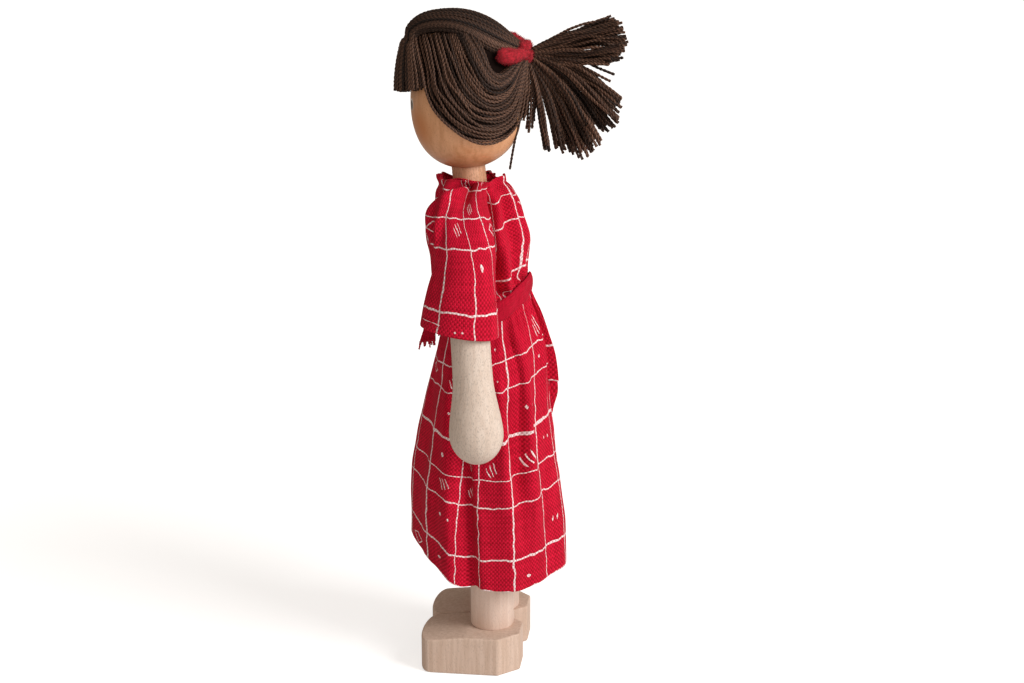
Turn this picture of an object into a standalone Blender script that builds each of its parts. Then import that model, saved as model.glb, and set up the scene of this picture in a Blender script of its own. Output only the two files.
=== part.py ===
"""Miniature wooden doll with yarn hair and a belted cotton dress.

The doll faces -Y, its left hand is at +X and it stands on Z = 0. Turned limbs, an egg head and
block feet are solid wood. The dress is thin shells that hang from the neck and the waist.
"""

import math

import bmesh
import bpy
from mathutils import Matrix, Vector

MM = 0.001

# Fits, cloth and facets
GAP = 0.3 * MM
CLOTH = 0.6 * MM
TURNED_STEPS = 28
CLOTH_STEPS = 40

# Where the legs stand: the ponytail reaches further back than the fringe reaches forward
LEG_Y = -4.2 * MM
LEAN = math.radians(5.7)

# Feet: sawn blocks with a round toe, a cut-back heel and a sloping instep
FOOT_LENGTH = 27.8 * MM
FOOT_WIDTH = 17.8 * MM
FOOT_HEIGHT = 10.8 * MM
TOE_HEIGHT = 9.4 * MM
TOE_DEPTH = 4.2 * MM
HEEL_CUT_LENGTH = 5.6 * MM
HEEL_CUT_WIDTH = 5.0 * MM
HEEL_BEHIND_LEG = 8.6 * MM
FEET_GAP = 0.6 * MM
FOOT_EDGE = 0.5 * MM

# Legs: dowels with a thinner tenon in the foot
LEG_DIAMETER = 12.0 * MM
LEGS_GAP = 0.7 * MM
LEG_HEIGHT = 59.0 * MM
LEG_IN_TORSO = 12.0 * MM
TENON_DIAMETER = 6.0 * MM
TENON_LENGTH = 6.0 * MM

# Torso: one turned piece from hips to shoulders
TORSO_LENGTH = 62.0 * MM
HIP_WALL = 1.2 * MM
WAIST_RADIUS = 9.2 * MM
WAIST_HEIGHT = 31.2 * MM
CHEST_RADIUS = 10.2 * MM
TORSO_TOP_EASE = 1.2 * MM
SHOULDER_DROP = 9.8 * MM

# Neck dowel and egg head
NECK_DIAMETER = 8.9 * MM
NECK_SHOWN = 6.4 * MM
NECK_IN_TORSO = 12.0 * MM
NECK_IN_HEAD = 8.0 * MM
HEAD_WIDTH = 28.5 * MM
HEAD_HEIGHT = 41.0 * MM
HEAD_BLUNTNESS = 0.29
HEAD_TILT = math.radians(11.0)

# Arms: turned, growing into a round hand, on a peg at the shoulder
ARM_TOP_RADIUS = 5.0 * MM
WRIST_RADIUS = 5.6 * MM
HAND_RADIUS = 7.1 * MM
ARM_REACH = 51.0 * MM
ARM_SWEEP = math.radians(4.2)
HAND_GAP = 1.0 * MM
PEG_DIAMETER = 4.0 * MM
PEG_IN_TORSO = 5.0 * MM
PEG_IN_ARM = 3.6 * MM

# Dress: bodice, raglan sleeves, gathered skirt
COLLAR_EASE = 4.7 * MM
COLLAR_RISE = 4.4 * MM
BODICE_EASE = 2.5 * MM
BODICE_PUFF = 1.0 * MM
WAIST_EASE = 2.4 * MM
WAIST_TILT = 4.4 * MM
WAIST_SIDE_DROP = 1.4 * MM
HIP_EASE = 2.4 * MM
SKIRT_PUFF = 1.6 * MM
SKIRT_LENGTH = 72.0 * MM
HEM_FLARE = 3.9 * MM
HEM_FRONT_RISE = 4.0 * MM
HEM_SIDE_DROP = 2.6 * MM
SKIRT_FOLDS = 10
FOLD_DEPTH = 1.5 * MM
SLEEVE_LENGTH = 24.0 * MM
SLEEVE_EASE = 1.1 * MM
SLEEVE_FULLNESS = 2.5 * MM
SLEEVE_FLARE = 0.6 * MM
ARMHOLE_RADIUS = 4.4 * MM
PLACKET_LENGTH = 16.0 * MM
PLACKET_DEPTH = 2.4 * MM
PLACKET_THICKNESS = 1.4 * MM
THREAD_THICKNESS = 0.5 * MM

# Belt: a strip of plain cloth knotted at the front
BELT_HEIGHT = 6.4 * MM
BELT_THICKNESS = 0.8 * MM
KNOT_SIZE = 4.2 * MM
TAIL_LENGTH = 8.0 * MM
TAIL_WIDTH = 4.4 * MM
TAIL_SPREAD = math.radians(12.0)

# Hair: yarn laid over the head, cut in a fringe and tied behind
HAIR_THICKNESS = 1.4 * MM
CROWN_HALF_WIDTH = 8.0 * MM
CROWN_BASE = 6.5 * MM
HAIRLINE_FRONT = 2.5 * MM
HAIRLINE_DROP = 12.4 * MM
FRINGE_THICKNESS = 1.2 * MM
FRINGE_TOP = 12.5 * MM
FRINGE_DROP = 0.6 * MM
FRINGE_HALF_ANGLE = math.radians(52.0)
FRINGE_STAND = 0.6 * MM
TIE_RISE = math.radians(30.5)
TIE_THICKNESS = 2.6 * MM
PONYTAIL_ROOT_RADIUS = 2.1 * MM
PONYTAIL_LENGTH = 25.6 * MM
PONYTAIL_DROOP = math.radians(25.0)
LOCK_SPREAD = math.radians(30.0)
LOCK_END_RADIUS = 6.17 * MM

# Colours
PALE_WOOD = (0.80, 0.66, 0.52, 1.0)
STAINED_WOOD = (0.62, 0.36, 0.16, 1.0)
DRESS_RED = (0.60, 0.02, 0.07, 1.0)
BELT_RED = (0.55, 0.01, 0.05, 1.0)
HAIR_BROWN = (0.07, 0.04, 0.03, 1.0)
TIE_RED = (0.60, 0.01, 0.05, 1.0)

for old in list(bpy.data.objects):
    bpy.data.objects.remove(old, do_unlink=True)

parts = bpy.data.collections.new("miniature_doll")
cutters = bpy.data.collections.new("cutters")
bpy.context.scene.collection.children.link(parts)
bpy.context.scene.collection.children.link(cutters)

# Places that follow from the sizes above
leg_radius = LEG_DIAMETER / 2
leg_x = leg_radius + LEGS_GAP / 2
hip_z = FOOT_HEIGHT + LEG_HEIGHT
hip_radius = leg_x + leg_radius + GAP + HIP_WALL
upper_body = Matrix.Translation((0, LEG_Y, hip_z)) @ Matrix.Rotation(LEAN, 4, "X")
neck_radius = NECK_DIAMETER / 2
head_tilt = LEAN + HEAD_TILT


def upper_point(height):
    """World point on the leaning middle line of the torso, neck and head."""
    return upper_body @ Vector((0, 0, height))


def smooth(points, steps):
    """Catmull-Rom curve through the points, with the given steps between neighbours."""
    ends = [points[0], *points, points[-1]]
    curve = []
    for before, start, end, after in zip(ends, ends[1:], ends[2:], ends[3:]):
        for step in range(steps):
            t = step / steps
            row = []
            for a, b, c, d in zip(before, start, end, after):
                bend = (2 * a - 5 * b + 4 * c - d) * t + (3 * b - a - 3 * c + d) * t * t
                row.append(b + 0.5 * t * ((c - a) + bend))
            curve.append(tuple(row))
    curve.append(tuple(points[-1]))
    return curve


def paint(obj, colour, roughness):
    """Give the object a Principled material of its own."""
    material = bpy.data.materials.new(obj.name)
    material.use_nodes = True
    shader = material.node_tree.nodes["Principled BSDF"]
    shader.inputs["Base Color"].default_value = colour
    shader.inputs["Roughness"].default_value = roughness
    shader.inputs["Metallic"].default_value = 0.0
    obj.data.materials.append(material)


def add_part(name, data, colour, roughness, parent=None):
    """Link a finished mesh or curve as a named piece."""
    obj = bpy.data.objects.new(name, data)
    parts.objects.link(obj)
    obj.parent = parent
    paint(obj, colour, roughness)
    return obj


def add_cutter(name, data, parent=None):
    """Link a mesh that only cuts other pieces."""
    obj = bpy.data.objects.new(name, data)
    cutters.objects.link(obj)
    obj.parent = parent
    obj.hide_render = True
    obj.display_type = "WIRE"
    return obj


def add_pivot(name, place):
    """Empty on a joint's axis, which carries the pieces that move with it."""
    pivot = bpy.data.objects.new(name, None)
    parts.objects.link(pivot)
    pivot.location = place
    return pivot


def cut(obj, cutter, operation="DIFFERENCE"):
    """Boolean modifier of one object with another."""
    modifier = obj.modifiers.new(cutter.name, "BOOLEAN")
    modifier.operation = operation
    modifier.object = cutter


def profile_mesh(name, outline):
    """Open line of (radius, height) points, top to bottom, for a Screw modifier."""
    mesh = bpy.data.meshes.new(name)
    verts = [(radius, 0, height) for radius, height in outline]
    edges = [(i, i + 1) for i in range(len(verts) - 1)]
    mesh.from_pydata(verts, edges, [])
    return mesh


def spin(obj):
    """Turn the object's profile about its Z axis."""
    screw = obj.modifiers.new("turned", "SCREW")
    screw.steps = TURNED_STEPS
    screw.render_steps = TURNED_STEPS
    screw.use_merge_vertices = True
    screw.merge_threshold = 0.00001
    screw.use_smooth_shade = True


def cylinder_mesh(name, radius, length, axis="Z"):
    """Closed cylinder, centred on its origin."""
    bm = bmesh.new()
    bmesh.ops.create_cone(
        bm, cap_ends=True, segments=TURNED_STEPS, radius1=radius, radius2=radius, depth=length
    )
    if axis == "X":
        bmesh.ops.rotate(bm, verts=bm.verts, matrix=Matrix.Rotation(math.pi / 2, 3, "Y"))
    mesh = bpy.data.meshes.new(name)
    bm.to_mesh(mesh)
    bm.free()
    return mesh


def box_mesh(name, size):
    """Closed box, centred on its origin."""
    bm = bmesh.new()
    bmesh.ops.create_cube(bm, size=1)
    bmesh.ops.scale(bm, verts=bm.verts, vec=size)
    mesh = bpy.data.meshes.new(name)
    bm.to_mesh(mesh)
    bm.free()
    return mesh


def outline_mesh(name, points, thickness):
    """Flat closed outline in XY, filled and thickened evenly about its plane."""
    curve = bpy.data.curves.new(name, "CURVE")
    curve.dimensions = "2D"
    curve.fill_mode = "BOTH"
    curve.extrude = thickness / 2
    spline = curve.splines.new("POLY")
    spline.points.add(len(points) - 1)
    for point, (x, y) in zip(spline.points, points):
        point.co = (x, y, 0, 1)
    spline.use_cyclic_u = True
    holder = bpy.data.objects.new(name, curve)
    cutters.objects.link(holder)
    graph = bpy.context.evaluated_depsgraph_get()
    mesh = bpy.data.meshes.new_from_object(holder.evaluated_get(graph))
    bpy.data.objects.remove(holder, do_unlink=True)
    bpy.data.curves.remove(curve)
    bm = bmesh.new()
    bm.from_mesh(mesh)
    bmesh.ops.remove_doubles(bm, verts=bm.verts, dist=0.000001)
    bmesh.ops.recalc_face_normals(bm, faces=bm.faces)
    bm.to_mesh(mesh)
    bm.free()
    return mesh


def loft_mesh(name, rings, close_top=False, closed_ring=True):
    """Open surface between rings of points, listed top to bottom and anticlockwise from above."""
    bm = bmesh.new()
    rows = [[bm.verts.new(point) for point in ring] for ring in rings]
    count = len(rings[0])
    spans = count if closed_ring else count - 1
    for upper, lower in zip(rows, rows[1:]):
        for i in range(spans):
            j = (i + 1) % count
            bm.faces.new((upper[i], lower[i], lower[j], upper[j]))
    if close_top:
        bm.faces.new(rows[0])
    mesh = bpy.data.meshes.new(name)
    bm.to_mesh(mesh)
    bm.free()
    mesh.shade_smooth()
    return mesh


def thicken(obj, thickness, offset=-1):
    """Solidify the cloth, inwards from the lofted surface unless offset says otherwise."""
    solid = obj.modifiers.new("thickness", "SOLIDIFY")
    solid.thickness = thickness
    solid.offset = offset
    solid.use_quality_normals = True


def cloth_ring(centre, half_width, half_depth, tilt=0, lift=0, fold=0, steps=CLOTH_STEPS):
    """Oval ring of points from the front, with folds drawn inwards from the oval."""
    points = []
    for step in range(steps):
        angle = 2 * math.pi * step / steps
        pull = fold * (0.5 - 0.5 * math.cos(SKIRT_FOLDS * angle))
        x = centre.x + (half_width - pull) * math.sin(angle)
        y = centre.y - (half_depth - pull) * math.cos(angle)
        z = centre.z + tilt * math.cos(angle) + lift * math.cos(2 * angle)
        points.append((x, y, z))
    return points


def mix(a, b, t):
    """Value between a and b."""
    return a + (b - a) * t


def make_feet():
    """Blocks with round toes; the top is level under the leg and falls to the toe."""
    heel_y = HEEL_BEHIND_LEG
    toe_y = heel_y - FOOT_LENGTH
    half = FOOT_WIDTH / 2
    back = half - HEEL_CUT_WIDTH
    toe = []
    for step in range(9):
        angle = math.pi * step / 8
        toe.append((-half * math.cos(angle), toe_y + TOE_DEPTH * (1 - math.sin(angle) ** 0.6)))
    heel_cut = heel_y - HEEL_CUT_LENGTH
    heel = [(half, heel_cut), (back, heel_y), (-back, heel_y), (-half, heel_cut)]
    instep_y = -leg_radius - GAP
    slope = math.atan2(FOOT_HEIGHT - TOE_HEIGHT, instep_y - toe_y)
    for name, side in (("left", 1), ("right", -1)):
        centre_x = side * (FEET_GAP / 2 + half)
        foot = add_part(name + "_foot", outline_mesh(name + "_foot", toe + heel, FOOT_HEIGHT), PALE_WOOD, 0.7)
        foot.location = (centre_x, LEG_Y, FOOT_HEIGHT / 2)
        bevel = foot.modifiers.new("edges", "BEVEL")
        bevel.width = FOOT_EDGE
        bevel.segments = 1
        bevel.limit_method = "ANGLE"
        bevel.angle_limit = math.radians(50)
        wedge_size = 2 * FOOT_LENGTH
        wedge_mesh = box_mesh(name + "_instep", (wedge_size, wedge_size, FOOT_HEIGHT))
        wedge = add_cutter(name + "_instep", wedge_mesh)
        lift = Matrix.Rotation(slope, 4, "X") @ Matrix.Translation((0, -wedge_size / 2, FOOT_HEIGHT / 2))
        wedge.matrix_world = Matrix.Translation((centre_x, LEG_Y + instep_y, FOOT_HEIGHT)) @ lift
        cut(foot, wedge)
        hole_mesh = cylinder_mesh(name + "_tenon_hole", TENON_DIAMETER / 2 + GAP, 2 * (TENON_LENGTH + GAP))
        hole = add_cutter(name + "_tenon_hole", hole_mesh)
        hole.location = (side * leg_x, LEG_Y, FOOT_HEIGHT)
        cut(foot, hole)


def make_legs():
    """Upright dowels that stand on the feet and end inside the hips."""
    top = hip_z + LEG_IN_TORSO
    bottom = FOOT_HEIGHT + GAP
    tenon = TENON_DIAMETER / 2
    outline = [
        (0, top),
        (leg_radius, top),
        (leg_radius, bottom),
        (tenon, bottom),
        (tenon, FOOT_HEIGHT - TENON_LENGTH),
        (0, FOOT_HEIGHT - TENON_LENGTH),
    ]
    for name, side in (("left_leg", 1), ("right_leg", -1)):
        leg = add_part(name, profile_mesh(name, outline), PALE_WOOD, 0.7)
        leg.location = (side * leg_x, LEG_Y, 0)
        spin(leg)


def make_torso():
    """Turned body with sockets for legs, neck and shoulder pegs."""
    outline = smooth(
        [
            (neck_radius + TORSO_TOP_EASE, TORSO_LENGTH),
            (CHEST_RADIUS, TORSO_LENGTH - SHOULDER_DROP / 2),
            (CHEST_RADIUS, TORSO_LENGTH - 1.6 * SHOULDER_DROP),
            (WAIST_RADIUS, WAIST_HEIGHT),
            (hip_radius, LEG_IN_TORSO),
            (hip_radius, 0),
        ],
        3,
    )
    outline = [(0, TORSO_LENGTH), *outline, (0, 0)]
    torso = add_part("torso", profile_mesh("torso", outline), PALE_WOOD, 0.7)
    torso.location = (0, LEG_Y, hip_z)
    torso.rotation_euler = (LEAN, 0, 0)
    spin(torso)
    for side in (1, -1):
        socket_mesh = cylinder_mesh("leg_socket", leg_radius + GAP, 2 * (LEG_IN_TORSO + GAP))
        socket = add_cutter("leg_socket", socket_mesh)
        socket.location = (side * leg_x, LEG_Y, hip_z)
        cut(torso, socket)
        depth = PEG_IN_TORSO + GAP
        bore_mesh = cylinder_mesh("peg_bore", PEG_DIAMETER / 2 + GAP, 2 * depth, "X")
        bore = add_cutter("peg_bore", bore_mesh)
        bore.location = upper_point(TORSO_LENGTH - SHOULDER_DROP) + Vector((side * CHEST_RADIUS, 0, 0))
        cut(torso, bore)
    bore_mesh = cylinder_mesh("neck_socket", neck_radius + GAP, 2 * (NECK_IN_TORSO + GAP))
    bore = add_cutter("neck_socket", bore_mesh)
    bore.location = upper_point(TORSO_LENGTH)
    bore.rotation_euler = (LEAN, 0, 0)
    cut(torso, bore)


egg_peak = max(
    math.sin(turn) * (1 - HEAD_BLUNTNESS * math.cos(turn))
    for turn in (math.pi * step / 180 for step in range(181))
)


def egg_point(turn, offset=0):
    """(radius, height) on the egg at a turn from its top, moved out along the surface."""
    share = HEAD_WIDTH / 2 / egg_peak
    radius = share * math.sin(turn) * (1 - HEAD_BLUNTNESS * math.cos(turn))
    height = HEAD_HEIGHT / 2 * math.cos(turn)
    slope_radius = share * (math.cos(turn) - HEAD_BLUNTNESS * math.cos(2 * turn))
    slope_height = -HEAD_HEIGHT / 2 * math.sin(turn)
    length = math.hypot(slope_radius, slope_height)
    return radius - offset * slope_height / length, height + offset * slope_radius / length


def egg_outline(offset=0, steps=16):
    """Profile of the egg, grown by an offset, from its top to its chin."""
    outline = [egg_point(math.pi * step / steps, offset) for step in range(steps + 1)]
    return [(max(radius, 0), height) for radius, height in outline]


def egg_reach(direction):
    """Distance from the egg's middle to its surface along a world direction."""
    local = Matrix.Rotation(-head_tilt, 3, "X") @ direction.normalized()
    wanted = math.acos(local.z)
    low = 0.0
    high = math.pi
    for _ in range(40):
        turn = (low + high) / 2
        radius, height = egg_point(turn)
        if math.atan2(radius, height) < wanted:
            low = turn
        else:
            high = turn
    return math.hypot(*egg_point(low))


head_height = TORSO_LENGTH + NECK_SHOWN + egg_reach(upper_point(0) - upper_point(1))
head_centre = upper_point(head_height)


def egg_cutter(name, offset, parent):
    """Egg-shaped cutter grown by an offset."""
    egg = add_cutter(name, profile_mesh(name, egg_outline(offset)), parent)
    egg.rotation_euler = (head_tilt, 0, 0)
    spin(egg)
    return egg


def make_head(pivot):
    """Egg with its blunt end as the chin, bored for the neck."""
    head = add_part("head", profile_mesh("head", egg_outline()), STAINED_WOOD, 0.35, pivot)
    head.rotation_euler = (head_tilt, 0, 0)
    spin(head)
    reach = TORSO_LENGTH + NECK_SHOWN + NECK_IN_HEAD
    bore_length = 2 * NECK_IN_HEAD + 2 * NECK_SHOWN
    bore = add_cutter("head_bore", cylinder_mesh("head_bore", neck_radius + GAP, bore_length))
    bore.location = upper_point(reach + GAP - bore_length / 2)
    bore.rotation_euler = (LEAN, 0, 0)
    cut(head, bore)


def make_neck():
    """Dowel from the torso into the head."""
    length = NECK_IN_TORSO + NECK_SHOWN + NECK_IN_HEAD
    neck = add_part("neck", cylinder_mesh("neck", neck_radius, length), PALE_WOOD, 0.7)
    neck.location = upper_point(TORSO_LENGTH - NECK_IN_TORSO + length / 2)
    neck.rotation_euler = (LEAN, 0, 0)
    neck.data.shade_smooth()
    neck.data.set_sharp_from_angle(angle=math.radians(40))


waist = upper_point(WAIST_HEIGHT)
waist_half_width = WAIST_RADIUS + WAIST_EASE
waist_half_depth = waist_half_width + SKIRT_PUFF / 2
waist_centre = Vector((0, waist.y + SKIRT_PUFF, waist.z))
bodice_half_width = CHEST_RADIUS + BODICE_EASE
belt_clear = GAP + BELT_THICKNESS
hip_half_width = hip_radius + HIP_EASE
hip_half_depth = hip_half_width + SKIRT_PUFF
hem_centre = Vector((0, LEG_Y - SKIRT_PUFF, waist.z - SKIRT_LENGTH))


def skirt_halves(drop):
    """Half width and half depth of the skirt at a drop below the waist."""
    hip_drop = waist.z - hip_z - LEG_IN_TORSO / 2
    belt_drop = BELT_HEIGHT / 2 + GAP
    if drop < belt_drop:
        return waist_half_width, waist_half_depth
    if drop < hip_drop:
        share = (drop - belt_drop) / (hip_drop - belt_drop)
        return mix(waist_half_width, hip_half_width, share), mix(waist_half_depth, hip_half_depth, share)
    share = 1 - (1 - (drop - hip_drop) / (SKIRT_LENGTH - hip_drop)) ** 1.7
    return hip_half_width + HEM_FLARE * share, hip_half_depth + HEM_FLARE * share


shoulder = upper_point(TORSO_LENGTH - SHOULDER_DROP)
sleeve_inner_x = bodice_half_width + 2 * GAP
shoulder_x = sleeve_inner_x + CLOTH + 2 * GAP + ARM_TOP_RADIUS
hand_skirt = skirt_halves(waist.z - shoulder.z + ARM_REACH)[0]
hand_x = max(hand_skirt + HAND_GAP + HAND_RADIUS, shoulder_x + HAND_RADIUS - ARM_TOP_RADIUS)
arm_splay = math.asin((hand_x - shoulder_x) / ARM_REACH)


def make_arm(name, side, pivot):
    """Turned arm, hung from the shoulder and splayed to clear the skirt."""
    outline = smooth(
        [
            (ARM_TOP_RADIUS, 0),
            (ARM_TOP_RADIUS + 0.3 * (WRIST_RADIUS - ARM_TOP_RADIUS), -0.45 * ARM_REACH),
            (WRIST_RADIUS, -0.68 * ARM_REACH),
            (HAND_RADIUS, -ARM_REACH),
        ],
        3,
    )
    dome = []
    for step in range(1, 5):
        angle = math.pi / 2 * step / 4
        dome.append((ARM_TOP_RADIUS * math.sin(angle), ARM_TOP_RADIUS * math.cos(angle)))
    ball = []
    for step in range(1, 6):
        angle = math.pi / 2 * step / 5
        ball.append((HAND_RADIUS * math.cos(angle), -ARM_REACH - HAND_RADIUS * math.sin(angle)))
    whole = [(0, ARM_TOP_RADIUS), *dome[:-1], *outline, *ball[:-1], (0, -ARM_REACH - HAND_RADIUS)]
    arm = add_part(name + "_arm", profile_mesh(name + "_arm", whole), PALE_WOOD, 0.7, pivot)
    arm.rotation_euler = (ARM_SWEEP, -side * arm_splay, 0)
    spin(arm)
    depth = PEG_IN_ARM + GAP
    bore_mesh = cylinder_mesh(name + "_arm_bore", PEG_DIAMETER / 2 + GAP, 2 * depth, "X")
    bore = add_cutter(name + "_arm_bore", bore_mesh, pivot)
    bore.location = (-side * ARM_TOP_RADIUS, 0, 0)
    cut(arm, bore)


def make_peg(name, side, pivot):
    """Dowel fixed in the arm, turning in the torso."""
    inner = CHEST_RADIUS - PEG_IN_TORSO
    outer = shoulder_x - ARM_TOP_RADIUS + PEG_IN_ARM
    mesh = cylinder_mesh(name + "_shoulder_peg", PEG_DIAMETER / 2, outer - inner, "X")
    peg = add_part(name + "_shoulder_peg", mesh, PALE_WOOD, 0.7, pivot)
    peg.location = (side * ((outer + inner) / 2 - shoulder_x), 0, 0)


def make_sleeve(name, side, pivot):
    """Bell sleeve round the arm, shut over the shoulder and open at the hem and armhole."""
    inner = sleeve_inner_x - shoulder_x
    round_arm = ARM_TOP_RADIUS + CLOTH + SLEEVE_EASE
    rows = []
    shape = [
        (1.62, 0.30, 0.30),
        (1.50, 0.72, 0.62),
        (1.05, 0.96, 0.88),
        (0.35, 1.0, 1.0),
        (-0.35, 1.0, 1.0),
        (-1.2, 1.02, 1.04),
        (-2.4, 1.06, 1.06),
        (-SLEEVE_LENGTH / ARM_TOP_RADIUS, 1.14, 1.12),
    ]
    for rise, depth_share, width_share in shape:
        drop = max(0, -rise * ARM_TOP_RADIUS) / SLEEVE_LENGTH
        outer = round_arm * width_share + SLEEVE_FLARE * drop + math.tan(arm_splay) * drop * SLEEVE_LENGTH
        half_width = (outer - inner) / 2
        half_depth = (round_arm + SLEEVE_FULLNESS) * depth_share
        centre_y = -SLEEVE_FULLNESS / 4 * depth_share
        centre = Vector((side * (outer + inner) / 2, centre_y, rise * ARM_TOP_RADIUS))
        rows.append(cloth_ring(centre, half_width, half_depth, steps=28))
    mesh = loft_mesh(name + "_sleeve", rows, close_top=True)
    sleeve = add_part(name + "_sleeve", mesh, DRESS_RED, 0.85, pivot)
    thicken(sleeve, CLOTH)
    hole_mesh = cylinder_mesh(name + "_armhole", ARMHOLE_RADIUS, 2 * ARM_TOP_RADIUS, "X")
    hole = add_cutter(name + "_armhole", hole_mesh, pivot)
    hole.location = (side * inner, 0, 0)
    cut(sleeve, hole)


def make_bodice():
    """Loose shell from the gathered collar to the waist, with an armhole at each side."""
    collar = upper_point(TORSO_LENGTH + COLLAR_RISE)
    collar_half = neck_radius + COLLAR_EASE
    chest_half_depth = bodice_half_width + BODICE_PUFF
    top_drop = upper_point(TORSO_LENGTH)
    belt_top = waist_centre + Vector((0, 0, BELT_HEIGHT / 2 + GAP))
    waist_seam = waist_centre + Vector((0, 0, GAP))
    stations = [
        (collar, collar_half, collar_half + BODICE_PUFF / 2, 0, 0),
        (top_drop, mix(collar_half, bodice_half_width, 0.5), mix(collar_half, chest_half_depth, 0.5), 0, 0),
        (mix(top_drop, shoulder, 0.55), bodice_half_width - GAP, chest_half_depth - GAP, 0, 0),
        (shoulder, bodice_half_width, chest_half_depth, 0, 0),
        (mix(shoulder, belt_top, 0.55), bodice_half_width, chest_half_depth, -0.3 * WAIST_TILT, 0),
        (belt_top, waist_half_width, waist_half_depth, -WAIST_TILT, WAIST_SIDE_DROP),
        (waist_seam, waist_half_width, waist_half_depth, -WAIST_TILT, WAIST_SIDE_DROP),
    ]
    rings = [cloth_ring(*station) for station in stations]
    bodice = add_part("bodice", loft_mesh("bodice", rings), DRESS_RED, 0.85)
    thicken(bodice, CLOTH)
    hole_mesh = cylinder_mesh("armholes", ARMHOLE_RADIUS, 3 * bodice_half_width, "X")
    hole = add_cutter("armholes", hole_mesh)
    hole.location = shoulder
    cut(bodice, hole)
    thread_half = collar_half - CLOTH - GAP
    rings = []
    for rise in (0, -2 * THREAD_THICKNESS):
        centre = collar + Vector((0, 0, rise))
        rings.append(cloth_ring(centre, thread_half, thread_half + BODICE_PUFF / 2))
    thread = add_part("neckline_thread", loft_mesh("neckline_thread", rings), DRESS_RED, 0.8)
    thicken(thread, THREAD_THICKNESS)


def skirt_sway(share):
    """Front rise and side drop of the skirt's ring at a share of its length."""
    tilt = mix(-WAIST_TILT, HEM_FRONT_RISE, min(1, 1.6 * share))
    return tilt, WAIST_SIDE_DROP * (1 - share) ** 2 + HEM_SIDE_DROP * share ** 2


def make_skirt():
    """Bell shell with soft folds, lower at the sides of the hem than in front."""
    rings = []
    for share in (0, 0.05, 0.12, 0.2, 0.3, 0.42, 0.56, 0.7, 0.85, 1):
        drop = share * SKIRT_LENGTH
        half_width, half_depth = skirt_halves(drop)
        centre = mix(waist_centre, hem_centre, share) - Vector((0, 0, GAP * (1 - share)))
        tilt, lift = skirt_sway(share)
        fold = FOLD_DEPTH * max(0, share - 0.45) / 0.55
        rings.append(cloth_ring(centre, half_width, half_depth, tilt, lift, fold))
    skirt = add_part("skirt", loft_mesh("skirt", rings), DRESS_RED, 0.85)
    thicken(skirt, CLOTH)


def make_placket():
    """Turned-out edge of the dress's back opening, standing on the skirt below the belt."""
    start = BELT_HEIGHT / 2 + 2 * GAP
    inner = []
    outer = []
    for step in range(5):
        share = step / 4
        drop = start + PLACKET_LENGTH * share
        skirt_share = drop / SKIRT_LENGTH
        tilt, lift = skirt_sway(skirt_share)
        centre = mix(waist_centre, hem_centre, skirt_share)
        back = centre.y + skirt_halves(drop)[1] + GAP
        height = centre.z - tilt + lift
        inner.append((back, height))
        outer.append((back + mix(0.3, 1, share) * PLACKET_DEPTH, height))
    mesh = outline_mesh("back_placket", inner + outer[::-1], PLACKET_THICKNESS)
    placket = add_part("back_placket", mesh, DRESS_RED, 0.85)
    placket.matrix_world = Matrix(((0, 0, 1, 0), (1, 0, 0, 0), (0, 1, 0, 0), (0, 0, 0, 1)))


def make_belt():
    """Band over the waist seam, with a knot and two cut ends in front."""
    rings = []
    for rise in (0.5, 0, -0.5):
        centre = waist_centre + Vector((0, 0, rise * BELT_HEIGHT))
        half_width = waist_half_width + belt_clear
        half_depth = waist_half_depth + belt_clear
        rings.append(cloth_ring(centre, half_width, half_depth, -WAIST_TILT, WAIST_SIDE_DROP))
    belt = add_part("belt", loft_mesh("belt", rings), BELT_RED, 0.9)
    thicken(belt, BELT_THICKNESS)
    front = waist_centre.y - waist_half_depth - belt_clear
    front_z = waist_centre.z - WAIST_TILT + WAIST_SIDE_DROP
    bm = bmesh.new()
    bmesh.ops.create_uvsphere(bm, u_segments=16, v_segments=10, radius=KNOT_SIZE / 2)
    mesh = bpy.data.meshes.new("belt_knot")
    bm.to_mesh(mesh)
    bm.free()
    mesh.shade_smooth()
    knot = add_part("belt_knot", mesh, BELT_RED, 0.9)
    knot.location = (0, front - GAP - KNOT_SIZE / 2, front_z)
    half = TAIL_WIDTH / 2
    skirt_front = skirt_halves(1.25 * (KNOT_SIZE / 2 + TAIL_LENGTH))[1]
    shift = max(0, skirt_front + GAP - waist_half_depth - belt_clear)
    points = [(-half * 0.6, 0), (half * 0.6, 0), (half - shift, -TAIL_LENGTH), (-half - shift, -TAIL_LENGTH)]
    for name, side in (("left_belt_tail", 1), ("right_belt_tail", -1)):
        tail = add_part(name, outline_mesh(name, points, BELT_THICKNESS), BELT_RED, 0.9)
        turn = Matrix.Rotation(-side * TAIL_SPREAD, 4, "Y") @ Matrix.Rotation(math.pi / 2, 4, "Z")
        flat = Matrix.Rotation(math.pi / 2, 4, "X")
        place = Vector((side * (BELT_THICKNESS + GAP), front - GAP - half, front_z - KNOT_SIZE / 2 - GAP))
        tail.matrix_world = Matrix.Translation(place) @ turn @ flat


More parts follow.
